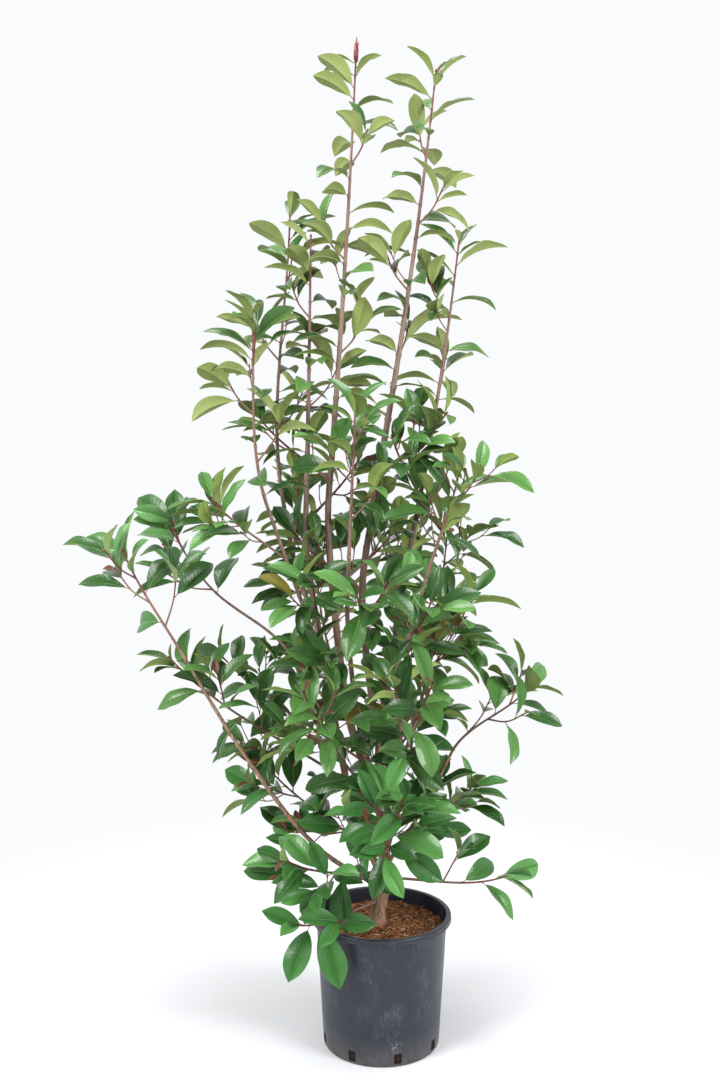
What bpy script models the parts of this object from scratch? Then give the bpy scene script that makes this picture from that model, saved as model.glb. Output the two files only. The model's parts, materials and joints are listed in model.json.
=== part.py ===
"""A potted photinia, a shrub of several stems about two metres tall in a twelve litre nursery pot.

The origin is the centre of the pot's flat underside, +Z is up and the front of the plant looks along -Y.
Stems and boughs are tapering limbs. Each spray of foliage is one solid that grows on from a limb's tip or
side.
"""

import math
import random
from collections import namedtuple

import bmesh
import bpy
from mathutils import Quaternion, Vector
from mathutils.bvhtree import BVHTree

# Clearance between neighbouring pieces, and the guard that a leaf keeps from everything but its own twig
GAP = 0.0003
LEAF_GUARD = 0.0009

# The pot: a tapered wall, a folded lip that stands proud, and drain slots low in the wall
POT_HEIGHT = 0.274
POT_BASE_RADIUS = 0.1205
POT_TOP_RADIUS = 0.1363
POT_WALL = 0.002
POT_FLOOR = 0.0025
POT_SIDES = 32
FOOT_ROUND = 0.003
LIP_RADIUS = 0.1453
LIP_HEIGHT = 0.012
LIP_ROUND = 0.003
LIP_EDGE = 0.001
SLOT_COUNT = 8
SLOT_WIDTH = 0.016
SLOT_BOTTOM = 0.006
SLOT_TOP = 0.028
SLOT_CUT_DEPTH = 0.016
FIRST_SLOT_ANGLE = math.radians(15.0 - 90.0)

# The room round the pot that twigs and leaves keep out of
POT_ROOM_RADIUS = 0.1483
POT_ROOM_TOP = 0.276
POT_ROOM_BOTTOM = -0.01

# The substrate: a plug that fills the pot to a little below the lip, slightly mounded round the trunk
SUBSTRATE_LEVEL = 0.249
SUBSTRATE_EDGE_DROP = 0.006
SUBSTRATE_FLAT_RADIUS = 0.05
SUBSTRATE_MOUND_SHARE = 0.3
SUBSTRATE_SIDES = 32

# Limbs are six-sided tubes. The trunk flares out over its lowest part.
LIMB_SIDES = 6
TRUNK_SIDES = 10
RINGS_PER_SPAN = 2
FLARE_WIDTH = 1.75
FLARE_HEIGHT = 0.035

# Twigs. A leading twig at a limb's tip is nearly as wide as that tip, and one that leaves a limb's side is
# limited by the limb's own width. It lifts towards the sky at its end
LEADER_SIDES = 4
LEADER_STEP = 0.11
LEADER_LIFT = 0.35
LEADER_FIT = 0.98
SIDE_LEADER_WIDTH = 0.00648
SIDE_LEADER_SHARE = 0.7
TWIG_SIDES = 3
TWIG_TIP_WIDTH = 0.0044
TWIG_FOOT_WIDTH = 0.0054
BUD_LENGTH = 0.010
GOLDEN_ANGLE = math.radians(137.5)

# Side twigs: the first and last places along the leading twig, their lengths there as shares of the reach,
# how they head with the leading twig and the sky before and after their bend, and how far they may go
TWIG_TRIES = 5
TWIG_PLACES = (0.12, 0.86)
TWIG_LENGTHS = (0.85, 0.5)
TWIG_LENGTH_SPREAD = (0.8, 1.0)
TWIG_TURN_SPREAD = 0.4
TWIG_TRY_TURN = 0.37
TWIG_TURN_BY_PLACE = 2.0
TWIG_FORWARD = 0.75
TWIG_RISE = 0.25
TWIG_END_FORWARD = 0.2
TWIG_END_RISE = 0.45
TWIG_REACH = 0.8
TWIG_BARE_SHARE = 0.35

# Leaves are closed kites with a keel. They crowd at a twig's tip, and open out and grow longer further back.
# Angles and bends are degrees, at the tip and where the leaves stand open
LEAF_TRIES = 4
LEAF_LENGTH = 0.108
YOUNG_LEAF_LENGTH = 0.074
LEAF_LENGTH_SPREAD = (0.86, 1.08)
LEAF_WIDTH = 0.44
LEAF_THICKNESS = 0.0013
STALK_WIDTH = 0.0016
WIDEST_SHARE = 0.54
LEAF_SPACING = 0.066
TIP_SPACING = 0.0085
SPACING_GROWTH = 1.7
GROWN_DISTANCE = 0.03
OPEN_DISTANCE = 0.12
LEAF_ANGLES = (30.0, 60.0)
LEAF_ANGLE_SPREAD = 8.0
LEAF_BENDS = (28.0, 58.0)
LEAF_BEND_SPREAD = (-8.0, 10.0)
LEAF_TURN_SPREAD = 0.3
LEAF_TRY_TURN = 0.5
LEAF_ROLL = 38.0
SKY_PULL = 0.8
STEEPEST_FACE = 0.2
LOWEST_LEAF = 0.03

# Faces within this angle of each other, in degrees, are one face
FLAT_ANGLE = 0.02

# A limb: what it grows from, how far along that, the places it bends through to its tip, and its widths
Limb = namedtuple("Limb", "name parent place bends foot_width tip_width")

LIMBS = (
    Limb("trunk", None, 0.0, ((-0.012, 0.0, SUBSTRATE_LEVEL + GAP), (0.004, 0.003, 0.33),
                              (0.006, 0.002, 0.41)), 0.030, 0.025),
    Limb("stem_a", "trunk", 0.86, ((-0.010, -0.004, 0.52), (-0.070, 0.000, 0.70), (-0.108, 0.006, 1.05),
                                   (-0.100, 0.000, 1.24)), 0.0185, 0.0120),
    Limb("stem_b", "trunk", 0.80, ((0.000, 0.055, 0.56), (-0.040, 0.062, 0.90), (-0.018, 0.040, 1.11),
                                   (0.008, 0.032, 1.27)), 0.0170, 0.0130),
    Limb("stem_c", "trunk", 0.90, ((0.040, 0.030, 0.54), (0.030, 0.072, 0.86), (0.066, 0.066, 1.06),
                                   (0.091, 0.060, 1.20)), 0.0135, 0.0095),
    Limb("stem_e", "trunk", 0.55, ((-0.062, 0.022, 0.50), (-0.118, 0.020, 0.80), (-0.152, 0.002, 1.02),
                                   (-0.152, 0.000, 1.17)), 0.0155, 0.0110),
    Limb("stem_d", "stem_e", 0.62, ((-0.180, 0.062, 1.00), (-0.204, 0.055, 1.13)), 0.0105, 0.0085),
    Limb("stem_f", "stem_e", 0.55, ((-0.172, -0.042, 0.96), (-0.226, -0.052, 1.117)), 0.0090, 0.0070),
    Limb("stem_g", "stem_a", 0.22, ((-0.055, -0.070, 0.74), (-0.069, -0.100, 0.90), (-0.066, -0.100, 1.03)),
         0.0110, 0.0080),
    Limb("stem_h", "stem_a", 0.16, ((0.000, -0.050, 0.72), (0.050, -0.062, 0.86), (0.086, -0.062, 0.98)),
         0.0115, 0.0080),
    Limb("left_low_bough", "trunk", 0.45, ((-0.139, -0.070, 0.445), (-0.275, -0.082, 0.631),
                                           (-0.400, -0.080, 0.840)), 0.0105, 0.0062),
    Limb("left_upper_bough", "stem_e", 0.44, ((-0.209, 0.052, 0.831), (-0.314, 0.050, 0.912)),
         0.0068, 0.0052),
    Limb("right_low_bough", "trunk", 0.72, ((0.090, 0.006, 0.500), (0.142, 0.000, 0.609)), 0.0085, 0.0060),
    Limb("back_left_bough", "stem_b", 0.12, ((-0.050, 0.130, 0.640), (-0.100, 0.175, 0.760)), 0.0085, 0.0060),
    Limb("back_right_bough", "stem_c", 0.22, ((0.085, 0.110, 0.690), (0.110, 0.165, 0.790)), 0.0085, 0.0060),
)

# A spray of foliage: the limb it grows on, how far along (1 is the tip), the tip of its leading twig,
# how many side twigs it has, how far it may reach from its leading twig, and how much of that twig is bare
Spray = namedtuple("Spray", "name limb place tip twigs reach bare")

SPRAYS = (
    Spray("foliage_tall_a", "stem_a", 1.0, (-0.053, 0.000, 1.988), 3, 0.150, 0.02),
    Spray("foliage_tall_b", "stem_b", 1.0, (0.105, 0.030, 1.975), 4, 0.150, 0.02),
    Spray("foliage_tall_c", "stem_c", 1.0, (0.156, 0.060, 1.655), 2, 0.150, 0.02),
    Spray("foliage_tall_d", "stem_d", 1.0, (-0.186, 0.050, 1.705), 3, 0.150, 0.02),
    Spray("foliage_tall_e", "stem_e", 1.0, (-0.142, 0.000, 1.650), 2, 0.150, 0.02),
    Spray("foliage_tall_f", "stem_f", 1.0, (-0.255, -0.050, 1.500), 3, 0.150, 0.02),
    Spray("foliage_tall_g", "stem_g", 1.0, (-0.054, -0.100, 1.315), 3, 0.150, 0.02),
    Spray("foliage_tall_h", "stem_h", 1.0, (0.148, -0.060, 1.180), 3, 0.160, 0.02),
    Spray("foliage_left_low", "left_low_bough", 1.0, (-0.508, -0.080, 1.035), 3, 0.175, 0.02),
    Spray("foliage_left_upper", "left_upper_bough", 1.0, (-0.432, 0.050, 1.065), 3, 0.160, 0.03),
    Spray("foliage_left_middle", "stem_e", 0.26, (-0.425, -0.040, 0.815), 2, 0.150, 0.14),
    Spray("foliage_left_back", "stem_b", 0.20, (-0.340, 0.120, 0.790), 2, 0.150, 0.12),
    Spray("foliage_left_foot", "trunk", 0.84, (-0.245, -0.020, 0.600), 2, 0.140, 0.08),
    Spray("foliage_left_hanging", "trunk", 0.62, (-0.190, -0.150, 0.440), 1, 0.140, 0.08),
    Spray("foliage_right_low", "right_low_bough", 1.0, (0.300, -0.020, 0.755), 3, 0.160, 0.03),
    Spray("foliage_right_middle", "stem_c", 0.34, (0.185, -0.010, 0.945), 2, 0.160, 0.08),
    Spray("foliage_right_foot", "trunk", 0.93, (0.190, 0.060, 0.520), 1, 0.140, 0.09),
    Spray("foliage_low_right", "trunk", 0.60, (0.245, -0.090, 0.384), 1, 0.130, 0.12),
    Spray("foliage_low_left", "trunk", 0.30, (-0.165, -0.130, 0.300), 1, 0.160, 0.09),
    Spray("foliage_back_left", "back_left_bough", 1.0, (-0.150, 0.260, 1.020), 3, 0.180, 0.02),
    Spray("foliage_back_right", "back_right_bough", 1.0, (0.150, 0.250, 1.040), 3, 0.180, 0.02),
    Spray("foliage_back_low", "trunk", 0.58, (0.050, 0.240, 0.640), 3, 0.170, 0.10),
    Spray("foliage_front_left", "stem_a", 0.12, (-0.150, -0.200, 0.780), 3, 0.160, 0.07),
    Spray("foliage_front_right", "stem_h", 0.05, (0.090, -0.210, 0.800), 2, 0.160, 0.05),
    Spray("foliage_front_low", "trunk", 0.96, (0.035, -0.190, 0.570), 2, 0.150, 0.06),
)

# Side sprays stand round the taller stems where the shrub is dense. For each stem: the first and last
# places along it, how many there are, and the direction of the first one seen from above
SideRow = namedtuple("SideRow", "stem first last count turn")

SIDE_ROWS = (
    SideRow("stem_a", 0.40, 0.92, 3, 250.0),
    SideRow("stem_b", 0.36, 0.90, 3, 60.0),
    SideRow("stem_c", 0.42, 0.92, 3, 330.0),
    SideRow("stem_e", 0.38, 0.90, 3, 130.0),
    SideRow("stem_g", 0.66, 0.66, 1, 300.0),
    SideRow("stem_h", 0.66, 0.66, 1, 290.0),
    SideRow("stem_d", 0.60, 0.60, 1, 90.0),
    SideRow("stem_f", 0.70, 0.70, 1, 190.0),
)
SIDE_SPRAY_LENGTH = 0.19
SIDE_SPRAY_RISE = math.radians(40.0)
SIDE_SPRAY_REACH = 0.13
SIDE_SPRAY_TWIGS = 1
SIDE_SPRAY_BARE = 0.04

# The surfaces: each one's linear colour and roughness
PLASTIC = ("slate grey polypropylene", (0.055, 0.065, 0.080), 0.5)
PEAT = ("peat and coir", (0.110, 0.045, 0.022), 0.95)
BARK = ("brown bark", (0.130, 0.070, 0.040), 0.8)
LEAF = ("glossy green leaf", (0.060, 0.150, 0.030), 0.35)

UP = Vector((0.0, 0.0, 1.0))


def material(name, colour, roughness):
    """A plain surface with one colour."""
    made = bpy.data.materials.new(name)
    made.use_nodes = True
    shader = made.node_tree.nodes["Principled BSDF"]
    shader.inputs["Base Color"].default_value = (*colour, 1.0)
    shader.inputs["Roughness"].default_value = roughness
    shader.inputs["Metallic"].default_value = 0.0
    return made


def add_object(name, vertices, faces, surface=None):
    """A mesh object from its corners and faces."""
    mesh = bpy.data.meshes.new(name)
    mesh.from_pydata([tuple(v) for v in vertices], [], faces)
    mesh.update()
    made = bpy.data.objects.new(name, mesh)
    bpy.context.scene.collection.objects.link(made)
    if surface:
        mesh.materials.append(surface)
    return made


def turned(profile, sides):
    """The corners and faces of a solid turned about Z. The profile runs from the axis back to the axis."""
    vertices = [Vector((0.0, 0.0, profile[0][1]))]
    rings = []
    for radius, height in profile[1:-1]:
        rings.append(len(vertices))
        for i in range(sides):
            angle = 2.0 * math.pi * i / sides
            vertices.append(Vector((radius * math.cos(angle), radius * math.sin(angle), height)))
    last = len(vertices)
    vertices.append(Vector((0.0, 0.0, profile[-1][1])))
    faces = []
    for i in range(sides):
        j = (i + 1) % sides
        faces.append((0, rings[0] + j, rings[0] + i))
        for low, high in zip(rings, rings[1:]):
            faces.append((low + i, low + j, high + j, high + i))
        faces.append((last, rings[-1] + i, rings[-1] + j))
    return vertices, faces


def wall_radius(height):
    """The pot's outer radius at a height."""
    return POT_BASE_RADIUS + (POT_TOP_RADIUS - POT_BASE_RADIUS) * height / POT_HEIGHT


def make_pot(surface):
    """The pot, turned from one profile, with its drain slots cut through the lower wall."""
    under_lip = POT_HEIGHT - LIP_HEIGHT
    tuck = POT_HEIGHT - LIP_ROUND - POT_WALL
    profile = (
        (0.0, 0.0),
        (POT_BASE_RADIUS - FOOT_ROUND, 0.0),
        (POT_BASE_RADIUS, FOOT_ROUND),
        (wall_radius(tuck), tuck),
        (LIP_RADIUS - POT_WALL - LIP_EDGE, tuck),
        (LIP_RADIUS - POT_WALL, under_lip),
        (LIP_RADIUS, under_lip),
        (LIP_RADIUS, POT_HEIGHT - LIP_ROUND),
        (LIP_RADIUS - LIP_ROUND, POT_HEIGHT),
        (wall_radius(POT_HEIGHT) - POT_WALL + LIP_EDGE, POT_HEIGHT),
        (wall_radius(tuck) - POT_WALL, tuck),
        (wall_radius(POT_FLOOR) - POT_WALL, POT_FLOOR),
        (0.0, POT_FLOOR),
    )
    pot = add_object("pot", *turned(profile, POT_SIDES), surface)
    block = ((3, 2, 1, 0), (4, 5, 6, 7), (0, 1, 5, 4), (1, 2, 6, 5), (2, 3, 7, 6), (3, 0, 4, 7))
    vertices = []
    faces = []
    for i in range(SLOT_COUNT):
        angle = FIRST_SLOT_ANGLE + 2.0 * math.pi * i / SLOT_COUNT
        outward = Vector((math.cos(angle), math.sin(angle), 0.0))
        sideways = Vector((-math.sin(angle), math.cos(angle), 0.0))
        start = len(vertices)
        for radius in (POT_BASE_RADIUS - 0.5 * SLOT_CUT_DEPTH, POT_BASE_RADIUS + 0.5 * SLOT_CUT_DEPTH):
            for side, height in ((-0.5, SLOT_BOTTOM), (0.5, SLOT_BOTTOM), (0.5, SLOT_TOP), (-0.5, SLOT_TOP)):
                vertices.append(outward * radius + sideways * (side * SLOT_WIDTH) + UP * height)
        faces += [tuple(start + c for c in face) for face in block]
    cutter = add_object("drain_slot_cutter", vertices, faces)
    turn_outwards(cutter)
    cutter.hide_render = True
    cutter.display_type = "WIRE"
    cut = pot.modifiers.new("drain slots", "BOOLEAN")
    cut.operation = "DIFFERENCE"
    cut.object = cutter
    return pot


def make_substrate(surface):
    """The plug of substrate: it follows the inside of the pot a gap clear and is mounded at the middle."""
    bottom = POT_FLOOR + GAP
    edge = SUBSTRATE_LEVEL - SUBSTRATE_EDGE_DROP
    slope = SUBSTRATE_LEVEL - SUBSTRATE_MOUND_SHARE * SUBSTRATE_EDGE_DROP
    inset = POT_WALL + 2.0 * GAP

    def radius_at(height):
        return (wall_radius(height) - inset) * math.cos(math.pi / POT_SIDES)

    profile = (
        (0.0, bottom),
        (radius_at(bottom), bottom),
        (radius_at(edge), edge),
        (0.5 * (radius_at(edge) + SUBSTRATE_FLAT_RADIUS), slope),
        (SUBSTRATE_FLAT_RADIUS, SUBSTRATE_LEVEL),
        (0.0, SUBSTRATE_LEVEL),
    )
    return add_object("substrate", *turned(profile, SUBSTRATE_SIDES), surface)


def turn_outwards(made):
    """Faces of a mesh object made to point out."""
    work = bmesh.new()
    work.from_mesh(made.data)
    bmesh.ops.recalc_face_normals(work, faces=work.faces)
    work.to_mesh(made.data)
    work.free()


def smooth_route(points, per_span):
    """A Catmull-Rom curve through the points, with the same number of steps in each span."""
    points = [Vector(p) for p in points]
    before = points[0] * 2.0 - points[1]
    after = points[-1] * 2.0 - points[-2]
    padded = [before, *points, after]
    route = [points[0]]
    for a, b, c, d in zip(padded, padded[1:], padded[2:], padded[3:]):
        for step in range(1, per_span + 1):
            t = step / per_span
            route.append(0.5 * (2.0 * b + (c - a) * t + (2.0 * a - 5.0 * b + 4.0 * c - d) * t * t
                                + (3.0 * b - a - 3.0 * c + d) * t * t * t))
    return route


def headings(route):
    """The direction of a route at each of its points."""
    found = []
    for i in range(len(route)):
        ahead = route[min(i + 1, len(route) - 1)]
        behind = route[max(i - 1, 0)]
        found.append((ahead - behind).normalized())
    return found


def length_of(route):
    """A route's length."""
    return sum((b - a).length for a, b in zip(route, route[1:]))


def along_route(route, share):
    """The place and direction a share of the way along a route, by its length."""
    lengths = [(b - a).length for a, b in zip(route, route[1:])]
    left = share * sum(lengths)
    for a, b, length in zip(route, route[1:], lengths):
        if left <= length:
            return a.lerp(b, left / length), (b - a).normalized()
        left -= length
    return route[-1].copy(), (route[-1] - route[-2]).normalized()


def tube(route, widths, sides, point=0.0, first=None):
    """The corners and faces of a closed tube with flat ends, or one drawn out to a point at its far end."""
    directions = headings(route)
    if first is not None:
        directions[0] = first
    across = directions[0].orthogonal().normalized()
    vertices = []
    for i, (place, direction, width) in enumerate(zip(route, directions, widths)):
        if i:
            across = directions[i - 1].rotation_difference(direction) @ across
        other = direction.cross(across).normalized()
        for k in range(sides):
            angle = 2.0 * math.pi * k / sides
            vertices.append(place + (across * math.cos(angle) + other * math.sin(angle)) * (0.5 * width))
    faces = []
    for i in range(len(route) - 1):
        for k in range(sides):
            m = (k + 1) % sides
            faces.append((i * sides + k, i * sides + m, (i + 1) * sides + m, (i + 1) * sides + k))
    faces.append(tuple(reversed(range(sides))))
    end = (len(route) - 1) * sides
    if point:
        vertices.append(route[-1] + directions[-1] * point)
        faces += [(end + k, end + (k + 1) % sides, len(vertices) - 1) for k in range(sides)]
    else:
        faces.append(tuple(range(end, end + sides)))
    return vertices, faces


def tapered(route, foot_width, tip_width):
    """Widths along a route that fall evenly with its length."""
    lengths = [0.0]
    for a, b in zip(route, route[1:]):
        lengths.append(lengths[-1] + (b - a).length)
    return [foot_width + (tip_width - foot_width) * s / lengths[-1] for s in lengths]


def flared(route, widths):
    """Widths that open out towards the trunk's foot."""
    opened = []
    for place, width in zip(route, widths):
        near = max(0.0, 1.0 - (place.z - route[0].z) / FLARE_HEIGHT)
        opened.append(width * (1.0 + (FLARE_WIDTH - 1.0) * near * near))
    return opened


def tree_of(vertices, faces):
    """A search tree of a mesh, for finding what it touches."""
    return BVHTree.FromPolygons([tuple(v) for v in vertices], faces)


def join_by_boolean(made, others, operation):
    """One Boolean of an object with a collection of others, applied, after which the others are removed."""
    gathered = bpy.data.collections.new("gathered")
    bpy.context.scene.collection.children.link(gathered)
    for other in others:
        gathered.objects.link(other)
        bpy.context.scene.collection.objects.unlink(other)
    join = made.modifiers.new("join", "BOOLEAN")
    join.operation = operation
    join.operand_type = "COLLECTION"
    join.collection = gathered
    bpy.context.view_layer.update()
    evaluated = made.evaluated_get(bpy.context.evaluated_depsgraph_get())
    joined = bpy.data.meshes.new_from_object(evaluated)
    made.modifiers.clear()
    old = made.data
    made.data = joined
    bpy.data.meshes.remove(old)
    for other in others:
        bpy.data.objects.remove(other)
    bpy.data.collections.remove(gathered)
    flatten(made)


def flatten(made):
    """Coplanar faces and needless corners that the Boolean left are merged."""
    work = bmesh.new()
    work.from_mesh(made.data)
    bmesh.ops.dissolve_limit(work, angle_limit=math.radians(FLAT_ANGLE), verts=work.verts, edges=work.edges)
    work.to_mesh(made.data)
    work.free()


class Grown:
    """A limb as it stands: its route, its widths and how many sides its tube has."""

    def __init__(self, route, widths, sides):
        self.route = route
        self.widths = widths
        self.sides = sides

    def width_at(self, share):
        """The limb's width at the ring that is nearest to a share of the way along it."""
        last = len(self.widths) - 1
        return self.widths[min(last, round(share * last))]

    def shell(self, clearance):
        """The limb's tube grown by a clearance on every side."""
        widths = [w + 2.0 * clearance / math.cos(math.pi / self.sides) for w in self.widths]
        route = list(self.route)
        directions = headings(route)
        route[0] = route[0] - directions[0] * clearance
        route[-1] = route[-1] + directions[-1] * clearance
        return tube(route, widths, self.sides)


def seat(made, solid, grown):
    """A limb or twig that starts inside others is trimmed a gap clear of each of them."""
    own_tree = tree_of(*solid)
    for other in grown.values():
        shell = other.shell(GAP)
        if tree_of(*shell).overlap(own_tree):
            join_by_boolean(made, [add_object("neighbour", *shell)], "DIFFERENCE")
            keep_largest(made)


def make_limb(limb, grown, surface):
    """One tapering limb. One that grows from another starts in its middle and is trimmed a gap clear of it."""
    if limb.parent is None:
        route = smooth_route(limb.bends, RINGS_PER_SPAN)
        widths = flared(route, tapered(route, limb.foot_width, limb.tip_width))
        sides = TRUNK_SIDES
        first = UP
    else:
        start = along_route(grown[limb.parent].route, limb.place)[0]
        route = smooth_route((start, *limb.bends), RINGS_PER_SPAN)
        widths = tapered(route, limb.foot_width, limb.tip_width)
        sides = LIMB_SIDES
        first = None
    solid = tube(route, widths, sides, first=first)
    made = add_object(limb.name, *solid, surface)
    seat(made, solid, grown)
    grown[limb.name] = Grown(route, widths, sides)


def keep_largest(made):
    """Only the largest body of a mesh object is kept."""
    work = bmesh.new()
    work.from_mesh(made.data)
    work.faces.ensure_lookup_table()
    left = set(work.faces)
    bodies = []
    while left:
        waiting = [left.pop()]
        body = set(waiting)
        while waiting:
            face = waiting.pop()
            beside = {other for edge in face.edges for other in edge.link_faces} & left
            left -= beside
            body |= beside
            waiting += beside
        bodies.append(body)
    bodies.sort(key=lambda body: sum(f.calc_area() for f in body), reverse=True)
    loose = [f for body in bodies[1:] for f in body]
    if loose:
        bmesh.ops.delete(work, geom=loose, context="FACES")
        work.to_mesh(made.data)
    work.free()


def arc_point(root, along, face, length, bend, share):
    """A place on a midrib that starts along one direction and bends away from the leaf's upper face."""
    turn = bend * share
    forward = math.sin(turn) / bend * length
    down = (1.0 - math.cos(turn)) / bend * length
    return root + along * forward - face * down


def leaf_solid(root, along, face, length, width, bend, extra=0.0):
    """A closed leaf: a three-sided stalk sunk in the twig, a kite with a keel, and a tip that bends down."""
    side = along.cross(face).normalized()
    middle = arc_point(root, along, face, length, bend, WIDEST_SHARE)
    tip = arc_point(root, along, face, length + extra, bend, 1.0)
    half_stalk = 0.5 * STALK_WIDTH + extra
    half_width = 0.5 * width + extra
    vertices = [
        root + face * half_stalk,
        root - face * half_stalk,
        middle + side * half_width + face * extra,
        middle - side * half_width + face * extra,
        middle - face * (LEAF_THICKNESS + extra),
        tip,
    ]
    faces = [(0, 2, 3), (0, 1, 2), (1, 0, 3), (1, 4, 2), (1, 3, 4), (3, 2, 5), (4, 3, 5), (2, 4, 5)]
    return vertices, faces


def leaf_places(length, bare):
    """Distances back from a twig's tip: crowded leaves at the tip that open out to the full spacing."""
    back = 0.5 * TIP_SPACING
    step = TIP_SPACING
    while back < length - bare:
        yield back
        back += step
        step = min(step * SPACING_GROWTH, LEAF_SPACING)


def blend(low, high, share):
    """A value between two others."""
    return low + (high - low) * min(1.0, max(0.0, share))


def distance_to_route(place, route):
    """How far a place lies from a route."""
    nearest = float("inf")
    for a, b in zip(route, route[1:]):
        span = b - a
        share = min(1.0, max(0.0, (place - a).dot(span) / span.length_squared))
        nearest = min(nearest, (place - a - span * share).length)
    return nearest


class Space:
    """What stands already. A new twig or leaf has to keep clear of all of it."""

    def __init__(self):
        self.trees = []

    def add(self, vertices, faces):
        centre = sum((Vector(v) for v in vertices), Vector()) / len(vertices)
        radius = max((Vector(v) - centre).length for v in vertices)
        self.trees.append((tree_of(vertices, faces), centre, radius))

    def free(self, vertices, faces, skip=()):
        centre = sum(vertices, Vector()) / len(vertices)
        radius = max((v - centre).length for v in vertices)
        tree = None
        for index, (other, other_centre, other_radius) in enumerate(self.trees):
            if index in skip or (other_centre - centre).length > radius + other_radius:
                continue
            if tree is None:
                tree = tree_of(vertices, faces)
            if tree.overlap(other):
                return False
        return True


def leader_route(spray, grown):
    """The leading twig's route, from its limb's tip or out of its side, turning to its own tip."""
    host = grown[spray.limb]
    start, heading = along_route(host.route, spray.place)
    tip = Vector(spray.tip)
    reach = (tip - start).length
    if spray.place == 1.0:
        start = start + heading * GAP
    else:
        heading = (tip - start).normalized()
    lift = ((tip - start).normalized() + UP * LEADER_LIFT).normalized()
    first = start + heading * (reach / 3.0)
    second = tip - lift * (reach / 3.0)
    steps = max(3, round(reach / LEADER_STEP))
    route = []
    for i in range(steps + 1):
        t = i / steps
        route.append(start * (1 - t) ** 3 + first * (3 * t * (1 - t) ** 2) + second * (3 * t * t * (1 - t))
                     + tip * t ** 3)
    return route


def make_leader(spray, grown):
    """The route and the tube of a spray's leading twig."""
    route = leader_route(spray, grown)
    host = grown[spray.limb]
    if spray.place == 1.0:
        foot = LEADER_FIT * host.widths[-1]
        facing = along_route(host.route, 1.0)[1]
    else:
        foot = min(SIDE_LEADER_WIDTH, SIDE_LEADER_SHARE * host.width_at(spray.place))
        facing = None
    return route, tube(route, tapered(route, foot, TWIG_TIP_WIDTH), LEADER_SIDES, BUD_LENGTH, facing)


def twig_tries(spray, i, share, place, direction, rng):
    """The routes that a side twig may take and their lengths, each a little further round than the last."""
    for attempt in range(TWIG_TRIES):
        around = GOLDEN_ANGLE * (i + TWIG_TRY_TURN * attempt) + TWIG_TURN_BY_PLACE * spray.tip[0]
        around += rng.uniform(-TWIG_TURN_SPREAD, TWIG_TURN_SPREAD)
        outward = Quaternion(direction, around) @ direction.orthogonal().normalized()
        length = spray.reach * blend(*TWIG_LENGTHS, share) * rng.uniform(*TWIG_LENGTH_SPREAD)
        aim = (direction * TWIG_FORWARD + outward + UP * TWIG_RISE).normalized()
        late_aim = (aim + UP * TWIG_END_RISE + direction * TWIG_END_FORWARD).normalized()
        bend_at = place + aim * (0.5 * length)
        yield [place, bend_at, bend_at + late_aim * (0.5 * length)], length


def leaf_tries(turn, k, openness, direction, rng):
    """How a leaf may stand: where its stalk heads, its upper face and its bend, each further round."""
    for attempt in range(LEAF_TRIES):
        around = turn + GOLDEN_ANGLE * k + rng.uniform(-LEAF_TURN_SPREAD, LEAF_TURN_SPREAD)
        around += LEAF_TRY_TURN * attempt
        outward = Quaternion(direction, around) @ direction.orthogonal().normalized()
        angle = blend(*LEAF_ANGLES, openness) + rng.uniform(-LEAF_ANGLE_SPREAD, LEAF_ANGLE_SPREAD)
        angle = math.radians(angle)
        along = (direction * math.cos(angle) + outward * math.sin(angle)).normalized()
        sky = direction + UP * SKY_PULL
        face = sky - along * sky.dot(along)
        if face.length < STEEPEST_FACE:
            face = outward - along * outward.dot(along)
        roll = math.radians(rng.uniform(-LEAF_ROLL, LEAF_ROLL))
        face = Quaternion(along, roll) @ face.normalized()
        bend = math.radians(blend(*LEAF_BENDS, openness) + rng.uniform(*LEAF_BEND_SPREAD))
        yield along, face, bend


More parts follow.
